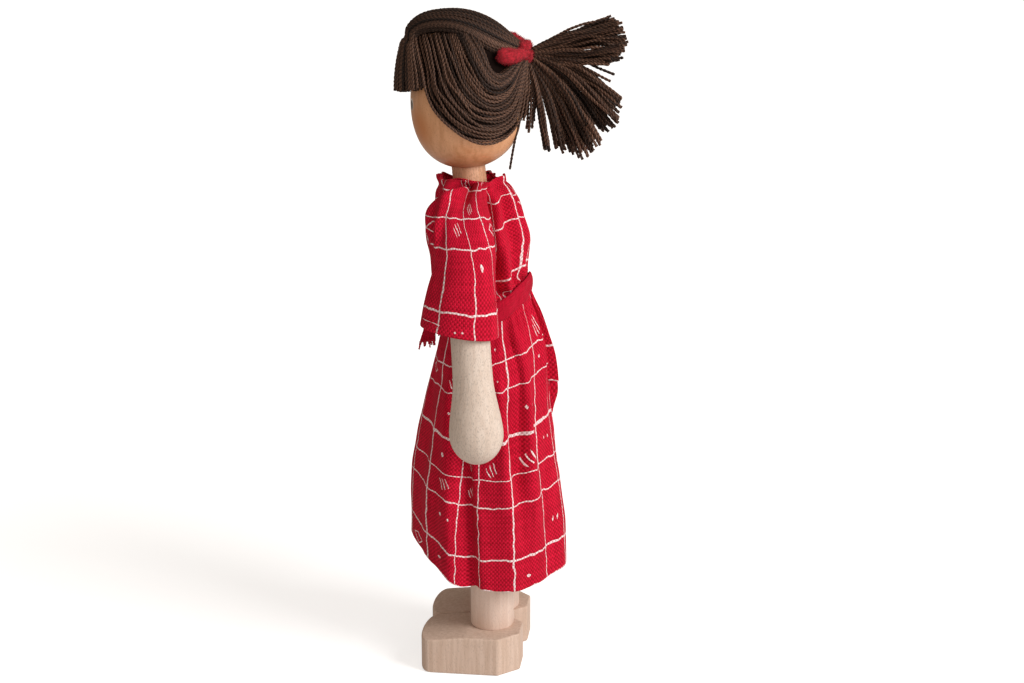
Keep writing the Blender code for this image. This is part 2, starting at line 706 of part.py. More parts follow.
def make_hair(pivot):
    """Yarn caps on the head: a crown, two sides, and a fringe that stands off the forehead."""
    hollow = egg_cutter("hair_inside", GAP, pivot)
    far = HEAD_HEIGHT
    back = HEAD_WIDTH / 2
    hairline = smooth(
        [
            (-far, HAIRLINE_FRONT),
            (-0.8 * back, HAIRLINE_FRONT),
            (-0.35 * back, -0.6 * HAIRLINE_DROP),
            (0.4 * back, -HAIRLINE_DROP),
            (far, -HAIRLINE_DROP),
        ],
        5,
    )
    face_mesh = outline_mesh("face_opening", [*hairline, (far, -far), (-far, -far)], 4 * HEAD_WIDTH)
    face = add_cutter("face_opening", face_mesh, pivot)
    face.matrix_local = Matrix(((0, 0, 1, 0), (1, 0, 0, 0), (0, 1, 0, 0), (0, 0, 0, 1)))
    crown_size = (2 * CROWN_HALF_WIDTH, 2 * far, far)
    crown_zone = add_cutter("crown_zone", box_mesh("crown_zone", crown_size), pivot)
    crown_zone.location = (0, 0, CROWN_BASE + far / 2)
    keep_size = (crown_size[0] + 2 * GAP, crown_size[1], far + 2 * GAP)
    keep_clear = add_cutter("crown_clear", box_mesh("crown_clear", keep_size), pivot)
    keep_clear.location = crown_zone.location
    crown_mesh = profile_mesh("hair_crown", egg_outline(GAP + HAIR_THICKNESS))
    crown = add_part("hair_crown", crown_mesh, HAIR_BROWN, 0.8, pivot)
    crown.rotation_euler = (head_tilt, 0, 0)
    spin(crown)
    cut(crown, hollow)
    cut(crown, crown_zone, "INTERSECT")
    for name, side in (("hair_left", 1), ("hair_right", -1)):
        half_mesh = box_mesh(name + "_half", (2 * far, 4 * far, 4 * far))
        half = add_cutter(name + "_half", half_mesh, pivot)
        half.location = (side * (far + GAP / 2), 0, 0)
        lock = add_part(name, profile_mesh(name, egg_outline(GAP + HAIR_THICKNESS)), HAIR_BROWN, 0.8, pivot)
        lock.rotation_euler = (head_tilt, 0, 0)
        spin(lock)
        cut(lock, hollow)
        cut(lock, half, "INTERSECT")
        cut(lock, keep_clear)
        cut(lock, face)


def make_fringe(pivot):
    """Curved curtain of yarn ends, further off the forehead at its cut edge."""
    rows = []
    for step in range(5):
        share = step / 4
        height = mix(FRINGE_TOP, -FRINGE_DROP, share)
        row = []
        for column in range(17):
            angle = mix(-FRINGE_HALF_ANGLE, FRINGE_HALF_ANGLE, column / 16)
            level = Vector((math.sin(angle), -math.cos(angle), 0))
            reach = HEAD_WIDTH / 2
            for _ in range(30):
                place = level * reach + Vector((0, 0, height))
                reach = reach * egg_reach(place) / place.length
            out = reach + 3 * GAP + HAIR_THICKNESS + FRINGE_STAND * share
            row.append(level * out + Vector((0, 0, height)))
        rows.append(row)
    fringe = add_part("fringe", loft_mesh("fringe", rows, closed_ring=False), HAIR_BROWN, 0.8, pivot)
    thicken(fringe, FRINGE_THICKNESS, offset=1)


def make_ponytail(pivot):
    """Tied root on the back of the head, opening into a fan of three locks."""
    outward = Vector((0, math.cos(TIE_RISE), math.sin(TIE_RISE)))
    ring_radius = PONYTAIL_ROOT_RADIUS + GAP + TIE_THICKNESS / 2
    ring_outer = ring_radius + TIE_THICKNESS / 2
    place = outward * (egg_reach(outward) + HAIR_THICKNESS + 2 * GAP + ring_outer)
    lie = Matrix.Rotation(-math.pi / 2, 4, "X")
    root_back = HEAD_WIDTH / 2
    root_front = TIE_THICKNESS
    root_mesh = cylinder_mesh("ponytail_root", PONYTAIL_ROOT_RADIUS, root_back + root_front)
    root = add_part("ponytail_root", root_mesh, HAIR_BROWN, 0.8, pivot)
    root_middle = Matrix.Translation((0, 0, (root_front - root_back) / 2))
    root.matrix_local = Matrix.Translation(place) @ lie @ root_middle
    cut(root, egg_cutter("hair_outside", HAIR_THICKNESS + 2 * GAP, pivot))
    bpy.ops.mesh.primitive_torus_add(
        major_radius=ring_radius, minor_radius=TIE_THICKNESS / 2, major_segments=24, minor_segments=8
    )
    torus = bpy.context.active_object
    tie = add_part("hair_tie", torus.data, TIE_RED, 0.95, pivot)
    bpy.data.objects.remove(torus, do_unlink=True)
    tie.matrix_local = Matrix.Translation(place) @ lie
    tie.data.shade_smooth()
    widen = LOCK_END_RADIUS / PONYTAIL_LENGTH
    start = root_front + GAP + PONYTAIL_ROOT_RADIUS
    for step, name in enumerate(("ponytail_upper", "ponytail_middle", "ponytail_lower")):
        angle = (1 - step) * LOCK_SPREAD - PONYTAIL_DROOP
        heading = Vector((0, math.cos(angle), math.sin(angle)))
        curve = bpy.data.curves.new(name, "CURVE")
        curve.dimensions = "3D"
        curve.bevel_depth = 1.0
        curve.bevel_resolution = 2
        curve.use_fill_caps = True
        spline = curve.splines.new("POLY")
        shares = (0, 0.35, 0.7, 0.92, 1)
        spline.points.add(len(shares) - 1)
        for point, share in zip(spline.points, shares):
            reach = mix(start, PONYTAIL_LENGTH, share)
            spot = place + heading * reach
            point.co = (spot.x, spot.y, spot.z, 1)
            point.radius = widen * reach * (1 if share < 1 else 0.8)
        add_part(name, curve, HAIR_BROWN, 0.8, pivot)


make_feet()
make_legs()
make_torso()
make_neck()
make_bodice()
make_skirt()
make_placket()
make_belt()
head_pivot = add_pivot("head_turn", head_centre)
make_head(head_pivot)
make_hair(head_pivot)
make_fringe(head_pivot)
make_ponytail(head_pivot)
for side_name, side_sign in (("left", 1), ("right", -1)):
    shoulder_pivot = add_pivot(side_name + "_shoulder", shoulder + Vector((side_sign * shoulder_x, 0, 0)))
    make_arm(side_name, side_sign, shoulder_pivot)
    make_peg(side_name, side_sign, shoulder_pivot)
    make_sleeve(side_name, side_sign, shoulder_pivot)
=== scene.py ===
"""Wooden doll with yarn hair and a belted cotton dress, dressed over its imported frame."""

import math
import random

import bmesh
import bpy
from mathutils import Matrix, Vector, noise


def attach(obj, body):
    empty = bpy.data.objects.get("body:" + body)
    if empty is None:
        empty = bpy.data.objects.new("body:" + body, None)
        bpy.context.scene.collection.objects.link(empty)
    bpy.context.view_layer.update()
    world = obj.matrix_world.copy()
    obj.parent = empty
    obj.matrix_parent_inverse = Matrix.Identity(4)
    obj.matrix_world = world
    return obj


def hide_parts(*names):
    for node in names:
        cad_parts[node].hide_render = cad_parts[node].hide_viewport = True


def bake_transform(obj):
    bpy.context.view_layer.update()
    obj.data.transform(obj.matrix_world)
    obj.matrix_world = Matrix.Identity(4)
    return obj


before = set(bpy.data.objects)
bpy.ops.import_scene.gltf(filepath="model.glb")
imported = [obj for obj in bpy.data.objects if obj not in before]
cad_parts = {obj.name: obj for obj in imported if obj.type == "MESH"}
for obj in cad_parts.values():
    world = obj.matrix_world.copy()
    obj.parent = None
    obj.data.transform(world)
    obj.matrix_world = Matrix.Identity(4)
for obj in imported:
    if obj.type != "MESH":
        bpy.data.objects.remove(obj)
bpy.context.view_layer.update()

# Feet: two sawn beech blocks with a round toe, a cut-back heel and a sloping instep.
# The edges are only lightly sanded, and each leg's tenon is glued into the top.
MM = 0.001
SIDES = (("left", 1), ("right", -1))
LEG_Y = -4.2 * MM
FOOT_LONG = 27.8 * MM
FOOT_HALF = 8.9 * MM
FOOT_HIGH = 10.8 * MM
FOOT_OFF_MIDDLE = 0.3 * MM
HEEL_BEHIND_LEG = 8.6 * MM
HEEL_CUT_LONG = 5.6 * MM
HEEL_CUT_WIDE = 5.0 * MM
INSTEP_AHEAD = 6.3 * MM
TOE_ROUND = 4.2 * MM
TOE_FALL = 1.4 * MM
SANDED_EDGE = 0.45 * MM


def new_node(tree, kind, sockets=None, **settings):
    """Add a node, set its properties, and fill or link its inputs."""
    node = tree.nodes.new(kind)
    for name, value in settings.items():
        setattr(node, name, value)
    for socket, value in (sockets or {}).items():
        if isinstance(value, bpy.types.NodeSocket):
            tree.links.new(value, node.inputs[socket])
        else:
            node.inputs[socket].default_value = value
    return node


def put(tree, kind, sockets=None, **settings):
    """Add a node and take its first output."""
    return new_node(tree, kind, sockets, **settings).outputs[0]


def new_material(name, finish):
    """Principled material with its finish set, its tree and its shader."""
    material = bpy.data.materials.new(name)
    material.use_nodes = True
    shader = material.node_tree.nodes["Principled BSDF"]
    for socket, value in finish.items():
        shader.inputs[socket].default_value = value
    return material, material.node_tree, shader


def coat(tree, shader, colour, height=None, strength=0.0, depth=0.0):
    """Give a shader its colour, and its relief where it has one."""
    tree.links.new(colour, shader.inputs["Base Color"])
    if height is not None:
        relief = put(tree, "ShaderNodeBump", {"Height": height, "Strength": strength, "Distance": depth})
        tree.links.new(relief, shader.inputs["Normal"])


def blend_colour(tree, factor, first, second, mode="MIX"):
    """Mix two colours by a factor."""
    sockets = {"Factor": factor, 6: first, 7: second}
    return new_node(tree, "ShaderNodeMix", sockets, data_type="RGBA", blend_type=mode).outputs[2]


def sum_up(tree, operation, first, second=0.0, third=0.0):
    """One Math node."""
    return put(tree, "ShaderNodeMath", {0: first, 1: second, 2: third}, operation=operation)


def ramp(tree, value, low, high, start=0.0, end=1.0):
    """Smooth step of a value between two limits."""
    sockets = {"Value": value, "From Min": low, "From Max": high, "To Min": start, "To Max": end}
    return put(tree, "ShaderNodeMapRange", sockets, interpolation_type="SMOOTHSTEP")


def speckle(tree, place, scale, detail=2.0):
    """Noise over a place."""
    return put(tree, "ShaderNodeTexNoise", {"Vector": place, "Scale": scale, "Detail": detail})


def own_place(tree):
    """The piece's own coordinates."""
    return new_node(tree, "ShaderNodeTexCoord").outputs["Object"]


def stretch(tree, place, scale):
    """A place scaled along its axes, so that a pattern on it is drawn out."""
    return put(tree, "ShaderNodeMapping", {"Vector": place, "Scale": scale})


def split(tree, place):
    """The x, y and z of a place."""
    return new_node(tree, "ShaderNodeSeparateXYZ", {0: place}).outputs


def beech_material(name, pale, brown, flecked):
    """Bare sanded beech: fine upright grain, slow bands and short dark flecks."""
    material, tree, shader = new_material(name, {"Roughness": 0.62, "Specular IOR Level": 0.3})
    place = own_place(tree)
    grain_place = stretch(tree, place, (1, 1, 0.06))
    grain = speckle(tree, grain_place, 1100.0, 4.0)
    bands = speckle(tree, grain_place, 200.0)
    flecks = ramp(tree, speckle(tree, stretch(tree, place, (1, 1, 0.45)), 3400.0, 1.0), 0.51, 0.68)
    wood = blend_colour(tree, ramp(tree, grain, 0.3, 0.7), pale, brown)
    wood = blend_colour(tree, ramp(tree, bands, 0.35, 0.75, 0.0, 0.35), wood, brown)
    dark = tuple(0.6 * channel for channel in brown[:3]) + (1.0,)
    wood = blend_colour(tree, sum_up(tree, "MULTIPLY", flecks, flecked), wood, dark)
    height = sum_up(tree, "SUBTRACT", sum_up(tree, "MULTIPLY", grain, 0.5), flecks)
    coat(tree, shader, wood, height, 0.22, 0.1 * MM)
    return material


def plain_mesh(name, bm):
    """Mesh from a finished bmesh."""
    mesh = bpy.data.meshes.new(name)
    bm.to_mesh(mesh)
    bm.free()
    return mesh


def smooth(mesh, sharp=None):
    """Shade a mesh smooth, apart from edges beyond an angle in degrees."""
    mesh.shade_smooth()
    if sharp is not None:
        mesh.set_sharp_from_angle(angle=math.radians(sharp))
    return mesh


def add_piece(name, data, material=None):
    """Link an object to the scene, with its material where that isn't set yet."""
    piece = bpy.data.objects.new(name, data)
    bpy.context.scene.collection.objects.link(piece)
    if material is not None:
        data.materials.clear()
        data.materials.append(material)
    return piece


def made_mesh(piece):
    """Plain mesh of a piece as its modifiers make it."""
    graph = bpy.context.evaluated_depsgraph_get()
    return bpy.data.meshes.new_from_object(piece.evaluated_get(graph))


def settle(piece):
    """Turn the piece's modifiers into plain mesh."""
    mesh = made_mesh(piece)
    piece.modifiers.clear()
    piece.data = mesh


def fix(piece, body, slot, *nodes):
    """Let a piece ride on its body, in place of its CAD nodes; the slot is not used."""
    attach(piece, body)
    if nodes:
        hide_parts(*nodes)


def foot_mesh(name, side):
    """Block with its plan outline extruded, the top level at the heel and falling to the toe."""
    heel_y = LEG_Y + HEEL_BEHIND_LEG
    toe_y = heel_y - FOOT_LONG
    instep_y = LEG_Y - INSTEP_AHEAD
    centre_x = side * (FOOT_OFF_MIDDLE + FOOT_HALF)
    outline = []
    for step in range(19):
        angle = math.pi * step / 18
        outline.append((-FOOT_HALF * math.cos(angle), toe_y + TOE_ROUND * (1 - math.sin(angle) ** 0.6)))
    back = (FOOT_HALF - HEEL_CUT_WIDE, heel_y)
    heel = ((FOOT_HALF, instep_y), (FOOT_HALF, heel_y - HEEL_CUT_LONG), back)
    outline += heel
    outline += [(-x, y) for x, y in reversed(heel)]
    bm = bmesh.new()
    low = [bm.verts.new((centre_x + x, y, 0)) for x, y in outline]
    high = []
    for x, y in outline:
        fall = max(0, (instep_y - y) / (instep_y - toe_y)) * TOE_FALL
        high.append(bm.verts.new((centre_x + x, y, FOOT_HIGH - fall)))
    bm.faces.new(low[::-1])
    bm.faces.new([high[-1]] + high[:20])
    bm.faces.new(high[19:])
    for i in range(len(outline)):
        j = (i + 1) % len(outline)
        bm.faces.new((low[i], low[j], high[j], high[i]))
    bmesh.ops.recalc_face_normals(bm, faces=bm.faces)
    return plain_mesh(name, bm)


foot_wood = beech_material("sawn beech", (0.70, 0.53, 0.43, 1), (0.60, 0.43, 0.33, 1), 0.22)
for side_name, side in SIDES:
    name = side_name + "_foot_block"
    foot = add_piece(name, foot_mesh(name, side), foot_wood)
    edges = foot.modifiers.new("sanded edges", "BEVEL")
    edges.width = SANDED_EDGE
    edges.segments = 3
    edges.limit_method = "ANGLE"
    edges.angle_limit = math.radians(25)
    settle(foot)
    fix(foot, "body", "pale_wood", side_name + "_foot")

# Legs, neck, torso and shoulder pegs: turned beech dowels, glued in their sockets.
# Only the shins and the neck show; the torso and the pegs stay hidden in the dress.
LEAN = math.radians(5.7)
HIP_Z = 69.8 * MM
LEG_X = 6.35 * MM
# Outlines are (radius, height) in millimetres, from the top down.
LEG_OUTLINE = ((0, 81.8), (6.0, 81.8), (6.0, 11.2), (5.8, 10.85), (3.0, 10.85), (3.0, 5.0), (0, 5.0))
NECK_OUTLINE = ((0, 76.4), (4.0, 76.4), (4.45, 75.9), (4.45, 50.5), (4.0, 50.0), (0, 50.0))
dowel_wood = beech_material("turned beech", (0.71, 0.59, 0.50, 1), (0.63, 0.50, 0.41, 1), 0.5)
leg_wood = beech_material("planed beech", (0.84, 0.66, 0.56, 1), (0.75, 0.56, 0.46, 1), 0.2)
# The neck's beech is darker and redder than the rest: painted shade and a painted red reflection of the
# dress.
neck_painted_shade_wood = beech_material("beech in painted shade and red reflection", (0.76, 0.44, 0.28, 1), (0.62, 0.31, 0.17, 1), 0.5)


def turned_piece(name, outline, place, wood, steps=72, unit=MM):
    """Lathe work: (radius, height) points turned about Z, then put in place."""
    bm = bmesh.new()
    rows = []
    for radius, height in outline:
        row = []
        for step in range(steps if radius else 1):
            angle = 2 * math.pi * step / steps
            spot = Vector((radius * unit * math.cos(angle), radius * unit * math.sin(angle), height * unit))
            row.append(bm.verts.new(place @ spot))
        rows.append(row)
    for upper, lower in zip(rows, rows[1:]):
        for step in range(steps):
            ring = ((upper, step), (lower, step), (lower, step + 1), (upper, step + 1))
            corners = [row[index % len(row)] for row, index in ring]
            bm.faces.new(list(dict.fromkeys(corners)))
    return add_piece(name, smooth(plain_mesh(name, bm), 40), wood)


for side_name, side in SIDES:
    place = Matrix.Translation((side * LEG_X, LEG_Y, 0))
    leg = turned_piece(side_name + "_leg_dowel", LEG_OUTLINE, place, leg_wood)
    fix(leg, "body", "pale_wood", side_name + "_leg")

upper_body = Matrix.Translation((0, LEG_Y, HIP_Z)) @ Matrix.Rotation(LEAN, 4, "X")
neck = turned_piece("neck_dowel", NECK_OUTLINE, upper_body, neck_painted_shade_wood)
fix(neck, "body", "pale_wood", "neck")

for node in ("torso", "left_shoulder_peg", "right_shoulder_peg"):
    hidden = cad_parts[node].data
    hidden.materials.clear()
    hidden.materials.append(dowel_wood)

# Arms: turned beech, slim at the shoulder and swelling into a plain round hand.
# Each swings on a dowel peg, and hangs slightly outwards and back.
SHOULDER_X = 19.5 * MM
SHOULDER_Y = -9.384 * MM
SHOULDER_Z = 121.742 * MM
ARM_OUT = math.radians(6.12)
ARM_BACK = math.radians(4.2)
ARM_RADIUS = 5.0
HAND_RADIUS = 7.1
HAND_LONG = 8.1
ARM_LONG = 50
ARM_OUTLINE = (
    (ARM_RADIUS, 0), (5.1, -27), (5.2, -35), (5.45, -38.5), (6.0, -42), (6.6, -45.4), (7.0, -48.5),
    (HAND_RADIUS, -ARM_LONG),
)


def between(before, start, end, after, t):
    """Catmull-Rom point between start and end, for points of any size."""
    spot = []
    for a, b, c, d in zip(before, start, end, after):
        bend = (2 * a - 5 * b + 4 * c - d) * t + (3 * b - a - 3 * c + d) * t * t
        spot.append(b + 0.5 * t * ((c - a) + bend))
    return tuple(spot)


def smooth_line(points, steps):
    """Smooth curve through points of any size."""
    ends = [points[0], *points, points[-1]]
    line = []
    for four in zip(ends, ends[1:], ends[2:], ends[3:]):
        line += [between(*four, step / steps) for step in range(steps)]
    line.append(tuple(points[-1]))
    return line


arm_outline = []
for i in range(8):
    turn = math.pi * i / 16
    arm_outline.append((ARM_RADIUS * math.sin(turn), ARM_RADIUS * math.cos(turn)))
arm_outline += smooth_line(ARM_OUTLINE, 5)
for i in range(1, 12):
    turn = math.pi * i / 24
    arm_outline.append((HAND_RADIUS * math.cos(turn), -ARM_LONG - HAND_LONG * math.sin(turn)))
arm_outline.append((0, -ARM_LONG - HAND_LONG))
for side_name, side in SIDES:
    hang = Matrix.Rotation(-side * ARM_OUT, 4, "Y") @ Matrix.Rotation(ARM_BACK, 4, "X")
    place = Matrix.Translation((side * SHOULDER_X, SHOULDER_Y, SHOULDER_Z)) @ hang
    arm = turned_piece(side_name + "_arm_turned", arm_outline, place, dowel_wood)
    fix(arm, side_name + "_arm", "pale_wood", side_name + "_arm")

# Head: an egg of stained beech with its blunt end as the chin, under a satin varnish.
# Eyes, a small mouth and a soft blush are painted on, and it turns on the neck dowel.
HEAD = Vector((0, -13.016 * MM, 158.129 * MM))
HEAD_TILT = math.radians(14.2)
EGG_RADIUS = 14.25 * MM
EGG_HALF_HIGH = 20.5 * MM
EGG_BLUNTNESS = 0.36
# Paint: middle from the head's middle, stretch, radius of full paint and of its edge, strength, colour.
FACE_PAINT = {
    "blush": ((8.4, -10.4, -9.4), (1, 1, 1), 1.5, 7.5, 0.85, (0.54, 0.165, 0.026, 1)),
    # Painted shade under the chin, reddened as a painted reflection of the red dress.
    "painted chin shade and red reflection": ((0.0, 0.5, -19.5), (1, 1, 1), 4.0, 14.0, 0.7, (0.50, 0.165, 0.075, 1)),
    "white of the eye": ((5.4, -12.6, -3.2), (1.0, 2.0, 1.25), 1.25, 1.4, 1.0, (0.75, 0.70, 0.62, 1)),
    "iris": ((5.4, -12.6, -3.4), (0.8, 2.0, 1.1), 1.15, 1.3, 1.0, (0.035, 0.018, 0.012, 1)),
    # A painted highlight on the eye.
    "painted eye highlight": ((5.7, -12.8, -2.7), (1, 2, 1), 0.25, 0.38, 1.0, (0.9, 0.88, 0.85, 1)),
    "mouth": ((0.0, -11.2, -11.4), (2.2, 3.0, 0.5), 0.75, 0.95, 1.0, (0.42, 0.055, 0.035, 1)),
}


def egg_width(turn):
    """Width of the egg, before it is scaled, at a turn from its top."""
    return math.sin(turn) * (1 - EGG_BLUNTNESS * math.cos(turn))


EGG_PEAK = max(egg_width(math.pi * i / 360) for i in range(361))


def egg_point(turn):
    """(radius, height) on the egg at a turn from its top."""
    return EGG_RADIUS / EGG_PEAK * egg_width(turn), EGG_HALF_HIGH * math.cos(turn)


EGG_TABLE = [egg_point(math.pi * i / 360) for i in range(361)]
EGG_ANGLES = [math.atan2(radius, height) for radius, height in EGG_TABLE]
EGG_REACH = [math.hypot(radius, height) for radius, height in EGG_TABLE]


def egg_reach(offset):
    """Distance from the middle of the head to its wood along a vector."""
    local = Matrix.Rotation(-HEAD_TILT, 3, "X") @ offset
    wanted = math.atan2(math.hypot(local.x, local.y), local.z)
    low = 0
    high = 360
    while high - low > 1:
        middle = (low + high) // 2
        if EGG_ANGLES[middle] < wanted:
            low = middle
        else:
            high = middle
    share = (wanted - EGG_ANGLES[low]) / max(1e-9, EGG_ANGLES[high] - EGG_ANGLES[low])
    return EGG_REACH[low] + (EGG_REACH[high] - EGG_REACH[low]) * share


def head_material():
    """Honey-stained beech with painted eyes, mouth, cheeks, chin shade and eye highlight, placed on both
    sides alike.
    """
    finish = {"Roughness": 0.42, "Coat Weight": 0.15, "Coat Roughness": 0.22}
    material, tree, shader = new_material("honey stained beech", finish)
    place = own_place(tree)
    grain = speckle(tree, stretch(tree, place, (1.0, 1.0, 0.09)), 700.0, 4.0)
    speck = speckle(tree, place, 2400.0)
    cloud = speckle(tree, place, 60.0)
    wood = blend_colour(tree, ramp(tree, grain, 0.35, 0.7), (0.73, 0.37, 0.185, 1), (0.61, 0.285, 0.125, 1))
    wood = blend_colour(tree, ramp(tree, cloud, 0.4, 0.7, 0.0, 0.4), wood, (0.57, 0.25, 0.10, 1))
    wood = blend_colour(tree, ramp(tree, speck, 0.55, 0.75, 0.0, 0.5), wood, (0.42, 0.18, 0.075, 1))
    x, y, z = split(tree, place)
    folded = put(tree, "ShaderNodeCombineXYZ", {0: sum_up(tree, "ABSOLUTE", x), 1: y, 2: z})
    for centre, drawn_out, inner, outer, strength, colour in FACE_PAINT.values():
        sockets = {"Vector": folded, "Location": HEAD + Vector(centre) * MM, "Scale": drawn_out}
        local = put(tree, "ShaderNodeMapping", sockets, vector_type="TEXTURE")
        away = new_node(tree, "ShaderNodeVectorMath", {0: local}, operation="LENGTH").outputs["Value"]
        painted = ramp(tree, away, outer * MM, inner * MM, 0.0, strength)
        wood = blend_colour(tree, painted, wood, colour)
    coat(tree, shader, wood, grain, 0.12, 0.1 * MM)
    return material


outline = [egg_point(math.pi * i / 60) for i in range(60)] + [(0, -EGG_HALF_HIGH)]
place = Matrix.Translation(HEAD) @ Matrix.Rotation(HEAD_TILT, 4, "X")
head = turned_piece("head_egg", outline, place, head_material(), 96, 1)
fix(head, "head", "stained_wood", "head")

# Dress: one cut of coarse plain-weave cotton, screen printed with a loose white windowpane.
# It is gathered on a thread at the neck and under the belt, and hangs in soft folds.
# The cotton's red runs from RED_DARK, painted shade in the weave's gaps, to RED_LIGHT, painted light on the
# thread tops; the frayed threads take both as a random tone.
RED_LIGHT = (0.75, 0.0105, 0.046, 1)
RED_DARK = (0.29, 0.0025, 0.011, 1)
PRINT_WHITE = (0.94, 0.82, 0.82, 1)
THREAD = 0.58 * MM
PRINT_LINE = 0.225 * MM
PRINT_WANDER = 1.6 * MM
# Across and down the cloth: the size of a pane, the sway of its lines and the length of a sway.
PANE = (11.5 * MM, 10.6 * MM)
PANE_SWAY = (2.0 * MM, 2.2 * MM)
PANE_WAVE = (37 * MM, 29 * MM)
PANE_SEED = 4.7
MOTIF_THROW = 0.3


def weave(tree, across, down, thread):
    """Relief of a plain weave, and how far the upright thread lies on top."""
    warp = sum_up(tree, "SINE", sum_up(tree, "MULTIPLY", across, math.pi / thread))
    weft = sum_up(tree, "SINE", sum_up(tree, "MULTIPLY", down, math.pi / thread))
    over = sum_up(tree, "MULTIPLY", warp, weft)
    height = sum_up(tree, "POWER", sum_up(tree, "ABSOLUTE", over), 0.7)
    return height, sum_up(tree, "MULTIPLY_ADD", over, 0.5, 0.5)


def print_ink(tree, drawn):
    """Where the white print lies: wavy window panes, with a small motif in most of them."""

    def calc(operation, *values):
        """One Math node of the print."""
        return sum_up(tree, operation, *values)

    numbers = []
    offsets = []
    gaps = []
    for along, pane, sway, wave in zip(split(tree, drawn), PANE, PANE_SWAY, PANE_WAVE):
        swing = calc("SINE", calc("MULTIPLY", along, 2 * math.pi / wave))
        panes = calc("DIVIDE", calc("MULTIPLY_ADD", swing, sway, along), pane)
        numbers.append(calc("FLOOR", panes))
        offsets.append(calc("SUBTRACT", calc("FRACT", panes), 0.5))
        gaps.append(calc("MULTIPLY", calc("SUBTRACT", 0.5, calc("ABSOLUTE", offsets[-1])), pane))
    white = ramp(tree, calc("MINIMUM", *gaps), PRINT_LINE * 1.15, PRINT_LINE * 0.75)
    pane_id = put(tree, "ShaderNodeCombineXYZ", {0: numbers[0], 1: numbers[1], 2: PANE_SEED})
    lot = new_node(tree, "ShaderNodeTexWhiteNoise", {"Vector": pane_id}, noise_dimensions="3D").outputs
    spots = []
    for offset, pane, thrown in zip(offsets, PANE, split(tree, lot["Color"])):
        thrown = calc("MULTIPLY", calc("SUBTRACT", thrown, 0.5), MOTIF_THROW)
        spots.append(calc("MULTIPLY", calc("SUBTRACT", offset, thrown), pane))
    x, y = spots
    wide = calc("ABSOLUTE", x)
    tall = calc("ABSOLUTE", y)
    radius = calc("SQRT", calc("ADD", calc("MULTIPLY", x, x), calc("MULTIPLY", y, y)))
    diamond = calc("MULTIPLY", calc("ADD", wide, tall), 0.7)
    slant = calc("MULTIPLY_ADD", y, 0.45, x)
    stripe = calc("PINGPONG", calc("ADD", slant, 30 * MM), 0.75 * MM)
    pair = calc("ABSOLUTE", calc("SUBTRACT", wide, 1.3 * MM))
    # Share of the panes, from and to, and the gap to the motif: dot, diamond, strokes, two dots.
    motifs = (
        (0.00, 0.20, calc("SUBTRACT", radius, 0.4 * MM)),
        (0.20, 0.40, calc("ABSOLUTE", calc("SUBTRACT", diamond, 1.7 * MM))),
        (0.40, 0.58, calc("MAXIMUM", stripe, calc("SUBTRACT", diamond, 1.8 * MM))),
        (0.58, 0.76, calc("SUBTRACT", calc("ADD", pair, tall), 0.25 * MM)),
    )
    for start, end, gap in motifs:
        after_start = calc("GREATER_THAN", lot["Value"], start)
        chosen = calc("MULTIPLY", after_start, calc("LESS_THAN", lot["Value"], end))
        ink = ramp(tree, gap, PRINT_LINE, PRINT_LINE * 0.65)
        white = calc("MAXIMUM", white, calc("MULTIPLY", chosen, ink))
    return white


def cotton_material(name, thread, gap_shade_colour, printed):
    """Red cotton, with or without the white print, read from the piece's own cut, its weave painted in light
    and shade.
    """
    finish = {"Roughness": 0.86, "Sheen Weight": 0.02, "Sheen Roughness": 0.5, "Specular IOR Level": 0.08}
    material, tree, shader = new_material(name, finish)
    cut = put(tree, "ShaderNodeUVMap", uv_map="cut")
    sockets = {"Vector": cut, "Scale": 260.0, "Detail": 1.0}
    wander = new_node(tree, "ShaderNodeTexNoise", sockets).outputs["Color"]
    wander = put(tree, "ShaderNodeVectorMath", {0: wander, 1: (0.5, 0.5, 0.5)}, operation="SUBTRACT")
    reach = (PRINT_WANDER, PRINT_WANDER, 0)
    wander = put(tree, "ShaderNodeVectorMath", {0: wander, 1: reach}, operation="MULTIPLY")
    across, down, _ = split(tree, cut)
    loose = sum_up(tree, "MULTIPLY_ADD", split(tree, wander)[1], 0.5, across)
    height, over = weave(tree, loose, down, thread)
    fibre = speckle(tree, cut, 3800.0)
    cloud = speckle(tree, cut, 90.0)
    # Painted light on the thread tops and painted shade in the gaps between them, with random fibre and slub
    # tones on top.
    shade = sum_up(tree, "MULTIPLY_ADD", sum_up(tree, "SUBTRACT", fibre, 0.5), 0.6, over)
    for run in ((1.0, 0.06, 1.0), (0.06, 1.0, 1.0)):
        slub = speckle(tree, stretch(tree, cut, run), 0.8 / thread, 1.0)
        shade = sum_up(tree, "MULTIPLY_ADD", sum_up(tree, "SUBTRACT", slub, 0.5), 0.7, shade)
    red = blend_colour(tree, shade, gap_shade_colour, RED_LIGHT)
    red = blend_colour(tree, ramp(tree, cloud, 0.4, 0.75, 0.0, 0.15), red, gap_shade_colour)
    if printed:
        drawn = put(tree, "ShaderNodeVectorMath", {0: cut, 1: wander}, operation="ADD")
        worn = ramp(tree, sum_up(tree, "ADD", over, fibre), 0.5, 1.3, 0.4, 1.0)
        ink = sum_up(tree, "MULTIPLY", print_ink(tree, drawn), worn)
        red = blend_colour(tree, ink, red, PRINT_WHITE)
    coat(tree, shader, red, sum_up(tree, "MULTIPLY_ADD", fibre, 0.4, height), 0.6, 0.15 * MM)
    return material


def run_along(points):
    """Length along a line to each of its points."""
    lengths = [0.0]
    for before, after in zip(points, points[1:]):
        lengths.append(lengths[-1] + (after - before).length)
    return lengths


def shares_along(points):
    """How far along a line each of its points lies, from 0 to 1."""
    lengths = run_along(points)
    return [length / lengths[-1] for length in lengths]


